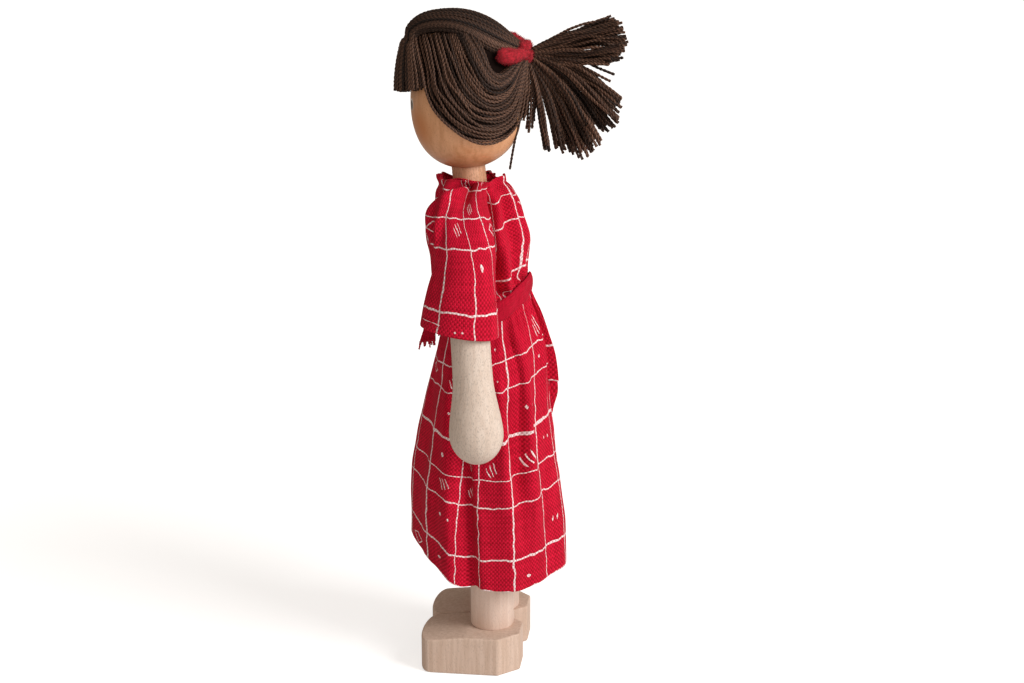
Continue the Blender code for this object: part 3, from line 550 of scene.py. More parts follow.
def cloth_piece(name, rows, cut, thickness, cloth, closed=False, seam=None):
    """Sheet between rows of points, thickened inwards, with its cut laid out flat as a UV map."""
    bm = bmesh.new()
    layer = bm.loops.layers.uv.new("cut")
    grid = [[bm.verts.new(point) for point in row] for row in rows]
    count = len(rows[0])
    last = len(rows) - 1
    belly = rows[2 * last // 3]
    columns = shares_along(belly + belly[:1] if closed else belly)
    levels = shares_along([row[count // 4 if closed else count // 2] for row in rows])
    for i in range(last):
        for j in range(len(columns) - 1):
            k = (j + 1) % count
            face = bm.faces.new((grid[i][j], grid[i + 1][j], grid[i + 1][k], grid[i][k]))
            flat = ((j, i), (j, i + 1), (j + 1, i + 1), (j + 1, i))
            for loop, (column, row) in zip(face.loops, flat):
                loop[layer].uv = (cut[0] * columns[column], cut[1] * (1 - levels[row]))
    piece = add_piece(name, smooth(plain_mesh(name, bm)), cloth)
    if seam is not None:
        weld = piece.modifiers.new("sewn seam", "WELD")
        weld.merge_threshold = seam
        settle(piece)
    solid = piece.modifiers.new("cotton thickness", "SOLIDIFY")
    solid.thickness = thickness
    solid.offset = -1
    solid.use_quality_normals = True
    settle(piece)
    smooth(piece.data, 60)
    return piece


printed_cotton = cotton_material("printed cotton", THREAD, RED_DARK, True)

# Skirt: a bell gathered in small pleats under the belt, its hem highest in front.
# Soft folds fall from the hips, and two crisper pleats run down each side.
SKIRT_CUT = (0.152, 0.075)
SKIRT_THICK = 0.5 * MM
SKIRT_Y = (-6.2, -5.8)
HEM_HEIGHT = 28.85
HEM_FRONT_RISE = 4.05
HEM_SIDE_FALL = 2.6
# Dips of the hem on both sides: angle from the front, width and depth.
HEM_DIPS = ((25, 14, 1.0), (75, 8, 1.2))
# Least distance from the body's middle at the hips and at the waist, and where it changes.
HIP_CLEAR = 14.9
WAIST_CLEAR = 11.0
HIP_TOP = 82
HIP_TO_WAIST = 18
# From the belt to the hem: half width, depth in front of the middle and depth behind it.
SKIRT_ROWS = (
    (11.3, 11.7, 11.4), (12.6, 13.2, 14.5), (13.9, 14.9, 16.4), (15.1, 16.5, 16.6), (16.3, 17.9, 16.8),
    (17.4, 19.2, 17.7), (18.3, 20.4, 18.9), (19.0, 21.0, 19.9), (19.5, 21.1, 20.5), (19.8, 21.0, 20.9),
)
# Angle at the belt and at the hem, width, depth, and how far the fold leans over.
SKIRT_FOLDS = (
    (27, 31, 13, 1.2, 0.0), (56, 54, 7, 0.9, 0.0), (70, 82, 5, 1.9, 0.35), (76, 88, 13, 1.7, 0.0),
    (104, 108, 8, 0.5, 0.0), (121, 128, 7, 1.5, -0.2), (152, 150, 10, 1.1, 0.0), (205, 203, 11, 1.4, 0.0),
    (238, 231, 9, 1.9, 0.2), (262, 260, 8, 0.7, 0.0), (288, 277, 7, 1.7, -0.3), (330, 327, 13, 1.3, 0.0),
)
# Angle at the belt and at the hem, width, depth, and how far down the pleat is deepest.
SKIRT_PLEATS = (
    (65, 73, 6.0, 1.5, 0.34), (117, 127, 6.5, 2.7, 0.36),
    (243, 233, 6.5, 2.7, 0.36), (295, 287, 6.0, 1.5, 0.34),
)
PLEAT_LONG = 0.26


def mix(a, b, t):
    """Value between a and b."""
    return a + (b - a) * t


def ease(value):
    """Smooth step from 0 to 1."""
    value = min(1, max(0, value))
    return value * value * (3 - 2 * value)


def bump(value, centre, width):
    """Bell curve round a centre."""
    return math.exp(-(((value - centre) / width) ** 2))


def turn_from(centre, angle):
    """Degrees from a centre to an angle, the short way round."""
    return (angle - centre + 180) % 360 - 180


def fold_wave(away, reach=2, ridge=0.42):
    """Across a fold: a valley of depth 1 between two lower ridges."""
    return bump(away, 0, 1) - ridge * (bump(away, reach, 1) + bump(away, -reach, 1))


def ring_noise(turn, wide, along):
    """Noise that closes on itself round the body."""
    return noise.noise(Vector((wide * math.sin(turn), wide * math.cos(turn), along)))


def station(stations, share):
    """Smooth values between evenly spaced rows of values."""
    step = min(max(share, 0), 1) * (len(stations) - 1)
    index = min(int(step), len(stations) - 2)
    picks = [stations[min(len(stations) - 1, max(0, index + k))] for k in (-1, 0, 1, 2)]
    return between(*picks, step - index)


def waist_height(turn):
    """Height of the belt's middle in millimetres: lowest in front, highest behind."""
    return 100.85 - 4.4 * math.cos(turn) + 1.4 * math.cos(2 * turn)


def off_torso(spot, least):
    """Push a point, in millimetres, at least that far from the middle of the body under the dress."""
    axis_y = LEG_Y / MM - (spot.z - HIP_Z / MM) * math.sin(LEAN)
    out = Vector((spot.x, spot.y - axis_y, 0))
    if out.length < least:
        spot += out * (least / out.length - 1)
    return spot


def ring_rows(point_at, around, down):
    """Rows of points round the body, which start and end at the back, where the print's seam is."""
    angles = [(360 * j / around + 180) % 360 for j in range(around)]
    return [[point_at(angle, i / down) for angle in angles] for i in range(down + 1)]


def skirt_point(angle, share):
    """Point on the skirt's outside at an angle from the front, in degrees."""
    half_width, front_depth, back_depth = station(SKIRT_ROWS, share)
    turn = math.radians(angle)
    half_depth = mix(front_depth, back_depth, 0.5 - 0.5 * math.cos(turn))
    strength = ease((share - 0.03) / 0.5)
    pull = 0
    slide = 0
    for top, hem, width, depth, lean in SKIRT_FOLDS:
        away = turn_from(mix(top, hem, share), angle) / (width * mix(0.7, 1.2, share))
        dip = depth * strength * fold_wave(away)
        pull += dip
        slide += lean * dip
    for top, hem, width, depth, deepest in SKIRT_PLEATS:
        wave = fold_wave(turn_from(mix(top, hem, share), angle) / width, 1.9, 0.7)
        pull += depth * bump(share, deepest, PLEAT_LONG) * ease(share / 0.12) * wave
    small = 1 + math.sin(31 * turn + 2.2 * math.sin(5 * turn))
    broad = 1 + math.sin(17 * turn + 1.7 * math.sin(4 * turn) + 0.8)
    pull += 0.45 * small * math.exp(-share / 0.1) * ease((share - 0.02) / 0.05)
    pull += 0.5 * broad * math.exp(-share / 0.26) * ease((share - 0.03) / 0.08)
    sway = ring_noise(turn, 2.3, 4 * share)
    ripple = ring_noise(turn, 6, 9 * share + 7)
    pull += (0.5 * sway + 0.18 * ripple) * strength
    hem = HEM_HEIGHT + HEM_FRONT_RISE * math.cos(turn) + HEM_SIDE_FALL * math.cos(2 * turn)
    hem += 0.3 * sway - 0.12 * pull * strength
    for centre, width, depth in HEM_DIPS:
        hem -= depth * bump(min(angle, 360 - angle), centre, width)
    height = mix(waist_height(turn) - 0.3, hem, share)
    x = (half_width - pull) * math.sin(turn) + slide * math.cos(turn)
    y = mix(*SKIRT_Y, share) - (half_depth - pull) * math.cos(turn) + slide * math.sin(turn)
    clear = mix(HIP_CLEAR, WAIST_CLEAR, ease((height - HIP_TOP) / HIP_TO_WAIST))
    return off_torso(Vector((x, y, height)), clear) * MM


rows = ring_rows(skirt_point, 320, 96)
skirt = cloth_piece("skirt_cloth", rows, SKIRT_CUT, SKIRT_THICK, printed_cotton, closed=True)
fix(skirt, "body", "dress_cotton", "skirt")

# Bodice: the dress's front and back, gathered on a thread at the neck and bagging over the belt.
# Its collar edge stands up round the neck in small uneven pleats.
BODICE_CUT = (0.098, 0.038)
BODICE_THICK = 0.5 * MM
BODICE_SEAM = 0.93
SEAM_OVER_BELT = 3.0
COLLAR_HEIGHT = 135.4
BODICE_Y = -9.0
# Least distance from the body's middle at the belt, on the chest and at the neck, and where it changes.
BELT_CLEAR = 9.9
CHEST_CLEAR = 10.65
NECK_CLEAR = 6.0
CHEST_FROM = 100
CHEST_RISE = 14
SHOULDER_FROM = 126.5
SHOULDER_RISE = 6
# From the collar to the belt: middle, half width and half depth.
BODICE_ROWS = (
    (-10.0, 9.0, 9.7), (-9.35, 9.9, 10.5), (-9.0, 10.9, 11.3), (-9.4, 11.6, 12.8), (-9.1, 12.0, 13.3),
    (-8.5, 12.3, 13.1), (-8.1, 12.5, 12.7), (-7.8, 12.5, 12.2), (-6.8, 11.4, 11.6),
)
# Angle from the front, width and depth.
BODICE_FOLDS = (
    (20, 9, 0.9), (117, 7, 2.6), (148, 8, 1.2), (172, 6, 0.7), (208, 9, 1.2), (243, 7, 2.6), (338, 8, 0.9),
)


def collar_height(turn):
    """Height of the pleated collar edge, in millimetres, at an angle from the front."""
    pleats = 0.5 * math.sin(6 * turn + 1.4 * math.sin(2 * turn) - 0.9)
    return COLLAR_HEIGHT + 0.5 * math.cos(2 * turn) + 0.6 * math.sin(turn) + pleats


def bodice_point(angle, share):
    """Point on the bodice at an angle from the front, from the collar to the seam under the belt."""
    down = min(1, share / BODICE_SEAM)
    centre_y, half_width, half_depth = station(BODICE_ROWS, down)
    turn = math.radians(angle)
    pleat = math.sin(9 * turn + 1.2 * math.sin(3 * turn) + 0.6)
    pull = 0.6 * (1 - pleat) * math.exp(-down / 0.2) + 0.8 * bump(down, 0.07, 0.035)
    pull += 1.7 * bump(down, 0.09, 0.06) * (bump(angle, 78, 26) + bump(angle, 282, 26))
    gather = math.sin(26 * turn + 2 * math.sin(5 * turn))
    pull += 0.35 * (1 - gather) * ease((down - 0.75) / 0.2)
    body = ease((down - 0.06) / 0.2) * (1 - ease((down - 0.95) / 0.05))
    for centre, width, depth in BODICE_FOLDS:
        pull += depth * body * fold_wave(turn_from(centre, angle + 7 * math.sin(4 * down)) / width)
    pull += 0.6 * body * ring_noise(turn, 3, 4 * down)
    overhang = 1.0 + bump(angle, 140, 25) + bump(angle, 220, 25)
    height = mix(collar_height(turn), waist_height(turn) + SEAM_OVER_BELT, down)
    height -= overhang * bump(down, 0.88, 0.1)
    height -= SEAM_OVER_BELT * max(0, share - BODICE_SEAM) / (1 - BODICE_SEAM)
    x = (half_width - pull) * math.sin(turn)
    y = centre_y - (half_depth - pull) * math.cos(turn)
    chest = mix(BELT_CLEAR, CHEST_CLEAR, ease((height - CHEST_FROM) / CHEST_RISE))
    clear = mix(chest, NECK_CLEAR, ease((height - SHOULDER_FROM) / SHOULDER_RISE))
    return off_torso(Vector((x, y, height)), clear) * MM


rows = ring_rows(bodice_point, 300, 70)
bodice = cloth_piece("bodice_cloth", rows, BODICE_CUT, BODICE_THICK, printed_cotton, closed=True)
fix(bodice, "body", "dress_cotton", "bodice", "neckline_thread")

# Sleeves: raglan sleeves cut with the dress, drawn up on the neck thread in deep pleats.
# They puff over the shoulder, narrow above the elbow and flare to a turned hem.
SLEEVE_CUT = (0.060, 0.050)
SLEEVE_THICK = 0.4 * MM
UNDERARM_SEAM = 0.05 * MM
# Across and up: a point at the shoulder, where the sleeve meets the arm; the sleeve does not swing with it.
SLEEVE_SWINGS = (20.5 * MM, 116.0 * MM)
SLEEVE_MIDDLE = Vector((21.5, -11.0, 0)) * MM
# Angles from the front where the sleeve is sewn to the bodice, at the collar and under the arm.
ARMHOLE_FRONT = (46, 78)
ARMHOLE_BACK = (124, 102)
UNDER_CLOTH = 0.35
SLEEVE_COLLAR = 136.1
# From the collar to the hem: height, middle across and along, half depth, half width,
# how far round in degrees the cloth reaches each way, and the rise of its crest.
SLEEVE_ROWS = (
    (136.2, 0.3, -10.0, 9.9, 9.3, 50, 0.0), (133.8, 3.6, -10.2, 9.2, 8.7, 58, 0.5),
    (131.2, 9.0, -10.6, 8.6, 7.8, 74, 1.3), (127.9, 15.3, -11.0, 8.7, 7.1, 100, 1.2),
    (123.6, 18.6, -10.2, 8.3, 6.8, 130, 0.3), (119.0, 19.8, -9.4, 8.1, 6.7, 160, 0.0),
    (114.2, 20.2, -9.4, 8.5, 6.8, 176, 0.0), (109.6, 20.6, -9.6, 9.2, 7.1, 180, 0.0),
    (104.8, 21.0, -9.9, 9.9, 7.5, 180, 0.0), (100.2, 21.4, -10.15, 10.35, 7.9, 180, 0.0),
    (98.9, 21.5, -10.25, 10.45, 7.95, 180, 0.0),
)
# Depth, place round the sleeve, its slant and where that starts, width, place down the sleeve, length.
SLEEVE_CREASES = (
    (1.0, -0.14, -0.75, 0.25, 0.07, 0.44, 0.16),
    (-0.5, -0.42, -0.5, 0.3, 0.16, 0.3, 0.16),
    (0.6, -0.28, 0.3, 0.6, 0.09, 0.8, 0.2),
    (1.7, -0.48, -0.3, 0.4, 0.09, 0.42, 0.22),
    (-0.9, -0.31, -0.3, 0.4, 0.07, 0.42, 0.22),
    (-0.8, -0.69, -0.3, 0.4, 0.12, 0.42, 0.22),
)
# The turned hem: how far inwards and upwards each row of it lies.
SLEEVE_HEM = ((0.35, -0.15), (0.75, 0.15), (0.8, 2.4))


def armhole_point(height, share, behind):
    """Point just under the bodice's cloth where the sleeve is sewn on, at a height."""
    angle = mix(*(ARMHOLE_BACK if behind else ARMHOLE_FRONT), ease(share / 0.55))
    turn = math.radians(angle)
    top = collar_height(turn)
    down = (top - height) / (top - waist_height(turn) - SEAM_OVER_BELT)
    spot = bodice_point(angle, BODICE_SEAM * min(1, max(0, down))) / MM
    outward = Vector((spot.x, spot.y - BODICE_Y, 0)).normalized()
    return Vector((spot.x, spot.y, height)) - UNDER_CLOTH * outward


def sleeve_point(round_share, share):
    """Point on the left sleeve; round_share runs from the front seam (-1) to the back seam (1)."""
    height, centre_x, centre_y, half_depth, half_width, limit, crest = station(SLEEVE_ROWS, share)
    if round_share > 0:
        limit *= mix(0.72, 1, ease((share - 0.1) / 0.35))
    turn = math.radians(limit * round_share)
    top = bump(share, 0, 0.24)
    line = 0.045 - 0.2 * min(round_share, 0.1)
    front = ease((0.3 - round_share) / 0.35) * ease((round_share + 0.95) / 0.4)
    groove = front * bump(share, line, 0.04)
    lip = front * bump(share, line + 0.095, 0.05) * ease((round_share + 0.8) / 0.5)
    pleat = top * bump(round_share, 0.22 - 0.4 * share, 0.12 + 0.1 * share)
    pull = 4.0 * groove - 1.7 * lip + 3.9 * pleat
    pull -= top * (1.0 * bump(round_share, 0.5, 0.16) + 0.8 * bump(round_share, -0.04, 0.13))
    pull += 1.6 * top * bump(round_share, 0.78, 0.12)
    for depth, centre, slant, start, width, level, long in SLEEVE_CREASES:
        across = bump(round_share, centre + slant * (share - start), width)
        pull += depth * across * bump(share, level, long)
    pull += 0.6 * bump(round_share, 0.5, 0.1) * ease((share - 0.3) / 0.2)
    wave = noise.noise(Vector((2.6 * round_share, 4.0 * share, 3.1)))
    pull += 0.45 * wave * ease(share / 0.2)
    x = centre_x + (half_width - pull) * math.cos(turn)
    y = centre_y + (half_depth - pull) * math.sin(turn)
    z = height + crest * math.cos(turn) - 1.7 * groove + 1.8 * lip - 1.4 * pleat
    z += (collar_height(math.pi / 2 + turn) - SLEEVE_COLLAR) * (1 - ease(share / 0.1))
    z += (0.4 * wave - 1.4 * math.sin(turn)) * ease((share - 0.5) / 0.5)
    spot = Vector((x, y, z))
    start = 0.8 if round_share > 0 else 0.62
    sewn = ease((abs(round_share) - start) / (1 - start)) * (1 - ease((share - 0.47) / 0.1))
    if sewn > 0:
        spot = spot.lerp(armhole_point(z, share, round_share > 0), sewn)
    return spot * MM


def sleeve_rows(side):
    """Rows of points from the collar to the hem, with the hem turned up inside."""
    rows = [[sleeve_point(2 * j / 120 - 1, i / 80) for j in range(121)] for i in range(81)]
    hem = rows[-1]
    for inward, rise in SLEEVE_HEM:
        row = []
        for point in hem:
            out = point - SLEEVE_MIDDLE
            out.z = 0
            row.append(point - out.normalized() * inward * MM + Vector((0, 0, rise)) * MM)
        rows.append(row)
    if side < 0:
        rows = [[Vector((-point.x, point.y, point.z)) for point in reversed(row)] for row in rows]
    return rows


for side_name, side in SIDES:
    name = side_name + "_sleeve_cloth"
    rows = sleeve_rows(side)
    sleeve = cloth_piece(name, rows, SLEEVE_CUT, SLEEVE_THICK, printed_cotton, seam=UNDERARM_SEAM)
    end = (side * SLEEVE_SWINGS[0], SHOULDER_Y, SLEEVE_SWINGS[1])
    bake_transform(sleeve)
    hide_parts(side_name + "_sleeve")

# Back opening: the two cut edges of the dress's back stand out below the belt, unhemmed.
# The near edge ends in a loose corner and the far one shows a little beneath it.
LEAF_CUT = (0.003, 0.022)
LEAF_THICK = 0.45 * MM
LEAF_TUCK = -1.0
# Angle from the front, end down the skirt, how far the edge stands out from the belt to its end, node.
LEAVES = (
    (177.5, 0.33, (0.1, 0.8, 1.5, 2.3, 2.9), ("back_placket",)),
    (182.5, 0.45, (0.1, 0.5, 0.8, 1.2, 1.7, 2.2, 0.3), ()),
)
for number, (angle, end, depths, nodes) in enumerate(LEAVES, 1):
    rows = []
    for i in range(33):
        share = i / 32
        depth = station([(value,) for value in depths], share)[0]
        base = skirt_point(angle, mix(0.02, end, share)) / MM
        row = []
        for j in range(11):
            out = j / 10
            bow = (180 - angle) * 0.12 * out + 0.3 * math.sin(5 * share + number) * out
            lift = 0.4 * out - 0.8 * out * share ** 6
            row.append((base + Vector((bow, mix(LEAF_TUCK, depth, out), lift))) * MM)
        rows.append(row)
    leaf = cloth_piece("back_opening_%d" % number, rows, LEAF_CUT, LEAF_THICK, printed_cotton)
    fix(leaf, "body", "dress_cotton", *nodes)

# Belt: a strip of plain red jersey wrapped over the waist seam, its cut edges rolling under.
# It is knotted in front, and its two ends hang from the knot and fray into threads.
BELT_CUT = (0.082, 0.008)
BELT_THICK = 0.4 * MM
BELT_END_CUT = (0.0045, 0.007)
BELT_END_THICK = 0.5 * MM
BELT_Y = -6.7
BELT_HALF_WIDE = 11.9
BELT_HALF_DEEP = 11.7
BELT_HALF_HIGH = (2.3, 3.1)
BELT_END_Y = -21.4
BELT_END_Z = 96.6
BELT_END_LONG = 5.6
BELT_END_WIDE = (2.2, 4.4)
KNOT = Vector((0, -20.9, 97.8)) * MM
KNOT_RADIUS = 2.1 * MM
KNOT_WIDER = 1.25
# Its gap colour is painted shade between the jersey's threads.
jersey = cotton_material("plain red jersey", 0.22 * MM, (0.24, 0.002, 0.010, 1), False)


def belt_point(turn, across):
    """Point on the belt at an angle from the front, across from its top edge to its bottom edge."""
    half_height = mix(*BELT_HALF_HIGH, 0.5 - 0.5 * math.cos(turn))
    roll = math.sqrt(max(0, 1 - (2 * across - 1) ** 4))
    crease = 0.35 * ring_noise(turn, 3.9, 2.5 * across + 2 * turn)
    stand = 0.35 + 0.65 * roll + crease * roll
    height = waist_height(turn) - 0.6 * math.sin(turn) ** 2 + mix(half_height, -half_height, across)
    height += 0.4 * ring_noise(turn, 2.6, 0)
    x = (BELT_HALF_WIDE + stand) * math.sin(turn)
    y = BELT_Y - (BELT_HALF_DEEP + stand) * math.cos(turn)
    return Vector((x, y, height)) * MM


rows = [[belt_point(2 * math.pi * j / 240, i / 16) for j in range(240)] for i in range(17)]
belt = cloth_piece("belt_strip", rows, BELT_CUT, BELT_THICK, jersey, closed=True)
fix(belt, "body", "belt_knit", "belt")

bm = bmesh.new()
bmesh.ops.create_uvsphere(bm, u_segments=56, v_segments=32, radius=KNOT_RADIUS)
for vert in bm.verts:
    spot = vert.co / KNOT_RADIUS
    fold = 0.12 * math.sin(9 * spot.z + 4 * spot.x) + 0.2 * noise.noise(spot * 2.2)
    vert.co = vert.co * (0.92 + fold)
    vert.co.x *= KNOT_WIDER
    vert.co += KNOT
mesh = smooth(plain_mesh("belt_knot_tied", bm))
mesh.uv_layers.new(name="cut")
for loop in mesh.loops:
    spot = mesh.vertices[loop.vertex_index].co
    mesh.uv_layers["cut"].data[loop.index].uv = (spot.x + spot.y, spot.z + 0.3 * spot.y)
knot = add_piece("belt_knot_tied", mesh, jersey)
fix(knot, "body", "belt_knit", "belt_knot")


def sweep_tree(name, sizes):
    """Empty geometry nodes with named inputs for sizes, and the sockets of those inputs."""
    tree = bpy.data.node_groups.new(name, "GeometryNodeTree")
    for label, kind in (("Geometry", "Geometry"), *sizes):
        tree.interface.new_socket(label, in_out="INPUT", socket_type="NodeSocket" + kind)
    tree.interface.new_socket("Geometry", in_out="OUTPUT", socket_type="NodeSocketGeometry")
    return tree, new_node(tree, "NodeGroupInput").outputs


def end_tree(tree, geometry, material):
    """Close geometry nodes in plain mesh with its material."""
    real = put(tree, "GeometryNodeRealizeInstances", {"Geometry": geometry})
    dyed = put(tree, "GeometryNodeSetMaterial", {"Geometry": real, "Material": material})
    new_node(tree, "NodeGroupOutput", {0: dyed})
    return tree


def keep_value(tree, geometry, name, value):
    """Store a value on every point under a name."""
    sockets = {"Geometry": geometry, "Name": name, "Value": value}
    return put(tree, "GeometryNodeStoreNamedAttribute", sockets, data_type="FLOAT", domain="POINT")


def yarn_nodes():
    """Geometry nodes that sweep a flattened, twisted ply along every strand."""
    sizes = [(label, "Float") for label in ("Strand Width", "Twist Length", "Step")]
    tree, given = sweep_tree("twisted yarn", (*sizes, ("Seed", "Int"), ("Yarn", "Material")))
    sockets = {"Curve": given["Geometry"], "Length": given["Step"]}
    even = put(tree, "GeometryNodeResampleCurve", sockets, mode="LENGTH")
    along = new_node(tree, "GeometryNodeSplineParameter").outputs["Length"]
    strand = new_node(tree, "GeometryNodeCurveOfPoint").outputs["Curve Index"]
    sockets = {"ID": strand, "Seed": given["Seed"]}
    tone = new_node(tree, "FunctionNodeRandomValue", sockets, data_type="FLOAT").outputs[1]
    turns = sum_up(tree, "ADD", sum_up(tree, "DIVIDE", along, given["Twist Length"]), tone)
    angle = sum_up(tree, "MULTIPLY", turns, 2 * math.pi)
    twisted = put(tree, "GeometryNodeSetCurveTilt", {"Curve": even, "Tilt": angle})
    toned = keep_value(tree, twisted, "strand_tone", tone)
    ring = put(tree, "GeometryNodeCurvePrimitiveCircle", {"Resolution": 8, "Radius": 0.5})
    place = put(tree, "GeometryNodeInputPosition")
    oval = put(tree, "ShaderNodeVectorMath", {0: place, 1: (1.06, 0.74, 1.0)}, operation="MULTIPLY")
    ply = put(tree, "GeometryNodeSetPosition", {"Geometry": ring, "Position": oval})
    # The distance from the groove between the plies, for the painted shade in that groove.
    plied = keep_value(tree, ply, "off_groove", sum_up(tree, "ABSOLUTE", split(tree, place)[0]))
    width = sum_up(tree, "MULTIPLY", put(tree, "GeometryNodeInputRadius"), given["Strand Width"])
    sockets = {"Curve": toned, "Profile Curve": plied, "Scale": width, "Fill Caps": True}
    sweep = put(tree, "GeometryNodeCurveToMesh", sockets)
    soft = put(tree, "GeometryNodeSetShadeSmooth", {"Geometry": sweep})
    return end_tree(tree, soft, given["Yarn"])


def swept_piece(name, lines, tree, sizes):
    """Mesh that geometry nodes make along lines, each a list of places with a thickness share."""
    curve = bpy.data.curves.new(name + "_path", "CURVE")
    curve.dimensions = "3D"
    for line in lines:
        spline = curve.splines.new("POLY")
        spline.points.add(len(line) - 1)
        for point, (spot, share) in zip(spline.points, line):
            point.co = (*spot, 1)
            point.radius = share
    holder = add_piece(name + "_path", curve)
    sweep = holder.modifiers.new("sweep", "NODES")
    sweep.node_group = tree
    for socket in tree.interface.items_tree:
        if socket.name in sizes:
            sweep[socket.identifier] = sizes[socket.name]
    mesh = made_mesh(holder)
    bpy.data.objects.remove(holder, do_unlink=True)
    bpy.data.curves.remove(curve)
    return add_piece(name, mesh)


def belt_end_point(side, drop, across):
    """Point on a hanging belt end, down from the knot and across its width."""
    curl = 0.6 * math.sin(3 * drop + side) + 1.6 * across * across * drop
    x = side * (0.9 + 2.2 * drop + 0.5 * curl)
    y = BELT_END_Y - 0.8 * drop + across * mix(*BELT_END_WIDE, drop)
    z = BELT_END_Z - (BELT_END_LONG + 0.5 * side) * drop + 0.7 * across * drop
    return Vector((x, y, z)) * MM


yarn_tree = yarn_nodes()
thread_material, tree, shader = new_material("red cotton thread", {"Roughness": 0.85})
coat(tree, shader, blend_colour(tree, speckle(tree, own_place(tree), 3000.0), RED_DARK, RED_LIGHT))
FRAYED_THREAD = {
    "Strand Width": 0.62 * MM, "Twist Length": 1.3 * MM, "Step": 0.25 * MM,
    "Seed": 4, "Yarn": thread_material,
}
chance = random.Random(17)
belt_pieces = [knot]
for side_name, side in SIDES:
    name = side_name + "_belt_end"
    rows = [[belt_end_point(side, i / 20, j / 14 - 0.5) for j in range(15)] for i in range(21)]
    tail = cloth_piece(name, rows, BELT_END_CUT, BELT_END_THICK, jersey)
    fix(tail, "body", "belt_knit", side_name + "_belt_tail")
    frayed = []
    for j in range(10):
        root = rows[-1][min(14, 1 + round(1.35 * j))] + Vector((-side * 0.2, 0, 0.4)) * MM
        sideways = side * chance.uniform(-0.2, 0.5)
        forward = (j - 4.5) * 0.07 + chance.uniform(-0.25, 0.25)
        lean = Vector((sideways, forward, -1)).normalized()
        length = chance.uniform(1.2, 2.4)
        strand = []
        for step in range(6):
            out = step / 5
            kink = Vector((chance.uniform(-0.1, 0.1), chance.uniform(-0.12, 0.12), 0)) * out
            strand.append((root + (lean * (length * out) + kink) * MM, 1 - 0.3 * out))
        frayed.append(strand)
    fringe = swept_piece(name + "_threads", frayed, yarn_tree, FRAYED_THREAD)
    fix(fringe, "body", "belt_knit")
    belt_pieces += [tail, fringe]

# Hair: dark brown two-ply yarn laid strand by strand over the head, glued along the parting.
# The sides sweep down past the temples and up to the tie, and the crown runs over the top
# from the cut fringe to the tie.
YARN_DARK = (0.008, 0.004, 0.003, 1)
YARN_LIGHT = (0.135, 0.066, 0.042, 1)
YARN_FIBRE_HIGHLIGHT = (0.27, 0.141, 0.088, 1)
# Painted shade on the crown: its darkening, and where that starts and is full, above and behind the head's
# middle.
CROWN_PAINTED_SHADE = (0.55, 0.55, 0.55, 1)
CROWN_ABOVE = (12 * MM, 17 * MM)
CROWN_BEHIND = (15 * MM, 11 * MM)
STRAND_POINTS = 72
STRAND_CLEAR = 0.75
PARTING = 0.275


def yarn_material():
    """Matt brown wool, different from strand to strand, with painted fibre highlights and painted shade in
    ply grooves and on the crown.
    """
    material, tree, shader = new_material("brown yarn", {"Roughness": 0.6, "Specular IOR Level": 0.2})
    tone = new_node(tree, "ShaderNodeAttribute", attribute_name="strand_tone").outputs["Fac"]
    off_groove = new_node(tree, "ShaderNodeAttribute", attribute_name="off_groove").outputs["Fac"]
    place = own_place(tree)
    fibre = speckle(tree, place, 4200.0)
    brown = blend_colour(tree, tone, YARN_DARK, YARN_LIGHT)
    # Painted highlights on the fibres, stronger on the lighter strands.
    lit_fibre = sum_up(tree, "MULTIPLY", ramp(tree, fibre, 0.45, 0.72), ramp(tree, tone, 0.0, 1.0, 0.2, 0.85))
    brown = blend_colour(tree, lit_fibre, brown, YARN_FIBRE_HIGHLIGHT)
    # Painted shade in the groove between the two plies.
    brown = blend_colour(tree, ramp(tree, off_groove, 0.4, 0.05, 0.0, 0.75), brown, YARN_DARK)
    off_middle = put(tree, "ShaderNodeVectorMath", {0: place, 1: HEAD}, operation="SUBTRACT")
    _, behind, above = split(tree, off_middle)
    # Painted shade over the crown.
    crown = sum_up(tree, "MULTIPLY", ramp(tree, above, *CROWN_ABOVE), ramp(tree, behind, *CROWN_BEHIND))
    brown = blend_colour(tree, crown, brown, CROWN_PAINTED_SHADE, "MULTIPLY")
    coat(tree, shader, brown, fibre, 0.5, 0.12 * MM)
    return material


yarn = yarn_material()
HAIR_YARN = {"Strand Width": 0.78 * MM, "Twist Length": 2.2 * MM, "Step": 0.48 * MM, "Yarn": yarn}
# Lines along the left side, in millimetres from the head's middle: the hairline, the middle of the
# sweep and the strands beside the tie.
SIDE_GUIDES = (
    (
        (6.5, -10.9, 14.4), (9.4, -9.6, 10.5), (11.4, -8.4, 5.4), (12.0, -7.6, 1.0), (12.8, -6.2, -2.0),
        (13.6, -4.3, -4.6), (14.3, -1.5, -7.5), (14.4, 2.1, -10.1), (13.8, 5.6, -11.6), (12.6, 8.6, -12.1),
        (11.0, 11.1, -12.0), (9.0, 13.1, -11.3), (6.4, 14.9, -9.5), (4.6, 16.2, -6.7), (3.6, 17.0, -2.8),
        (2.6, 17.5, 3.6), (1.3, 17.6, 8.8),
    ),
    (
        (9.4, 2.0, 15.5), (11.4, 4.1, 12.1), (12.4, 5.8, 8.7), (12.6, 7.6, 5.5), (12.0, 9.5, 3.2),
        (10.6, 11.6, 2.2), (8.6, 13.6, 3.1), (6.4, 14.9, 4.9), (4.0, 16.0, 7.2), (1.4, 17.4, 9.4),
    ),
    (
        (8.4, 6.4, 12.6), (9.5, 7.3, 10.6), (9.8, 8.2, 8.4), (9.4, 9.4, 6.3), (8.2, 11.3, 5.3),
        (6.6, 13.2, 5.7), (4.4, 15.0, 7.4), (1.4, 17.2, 9.7),
    ),
)
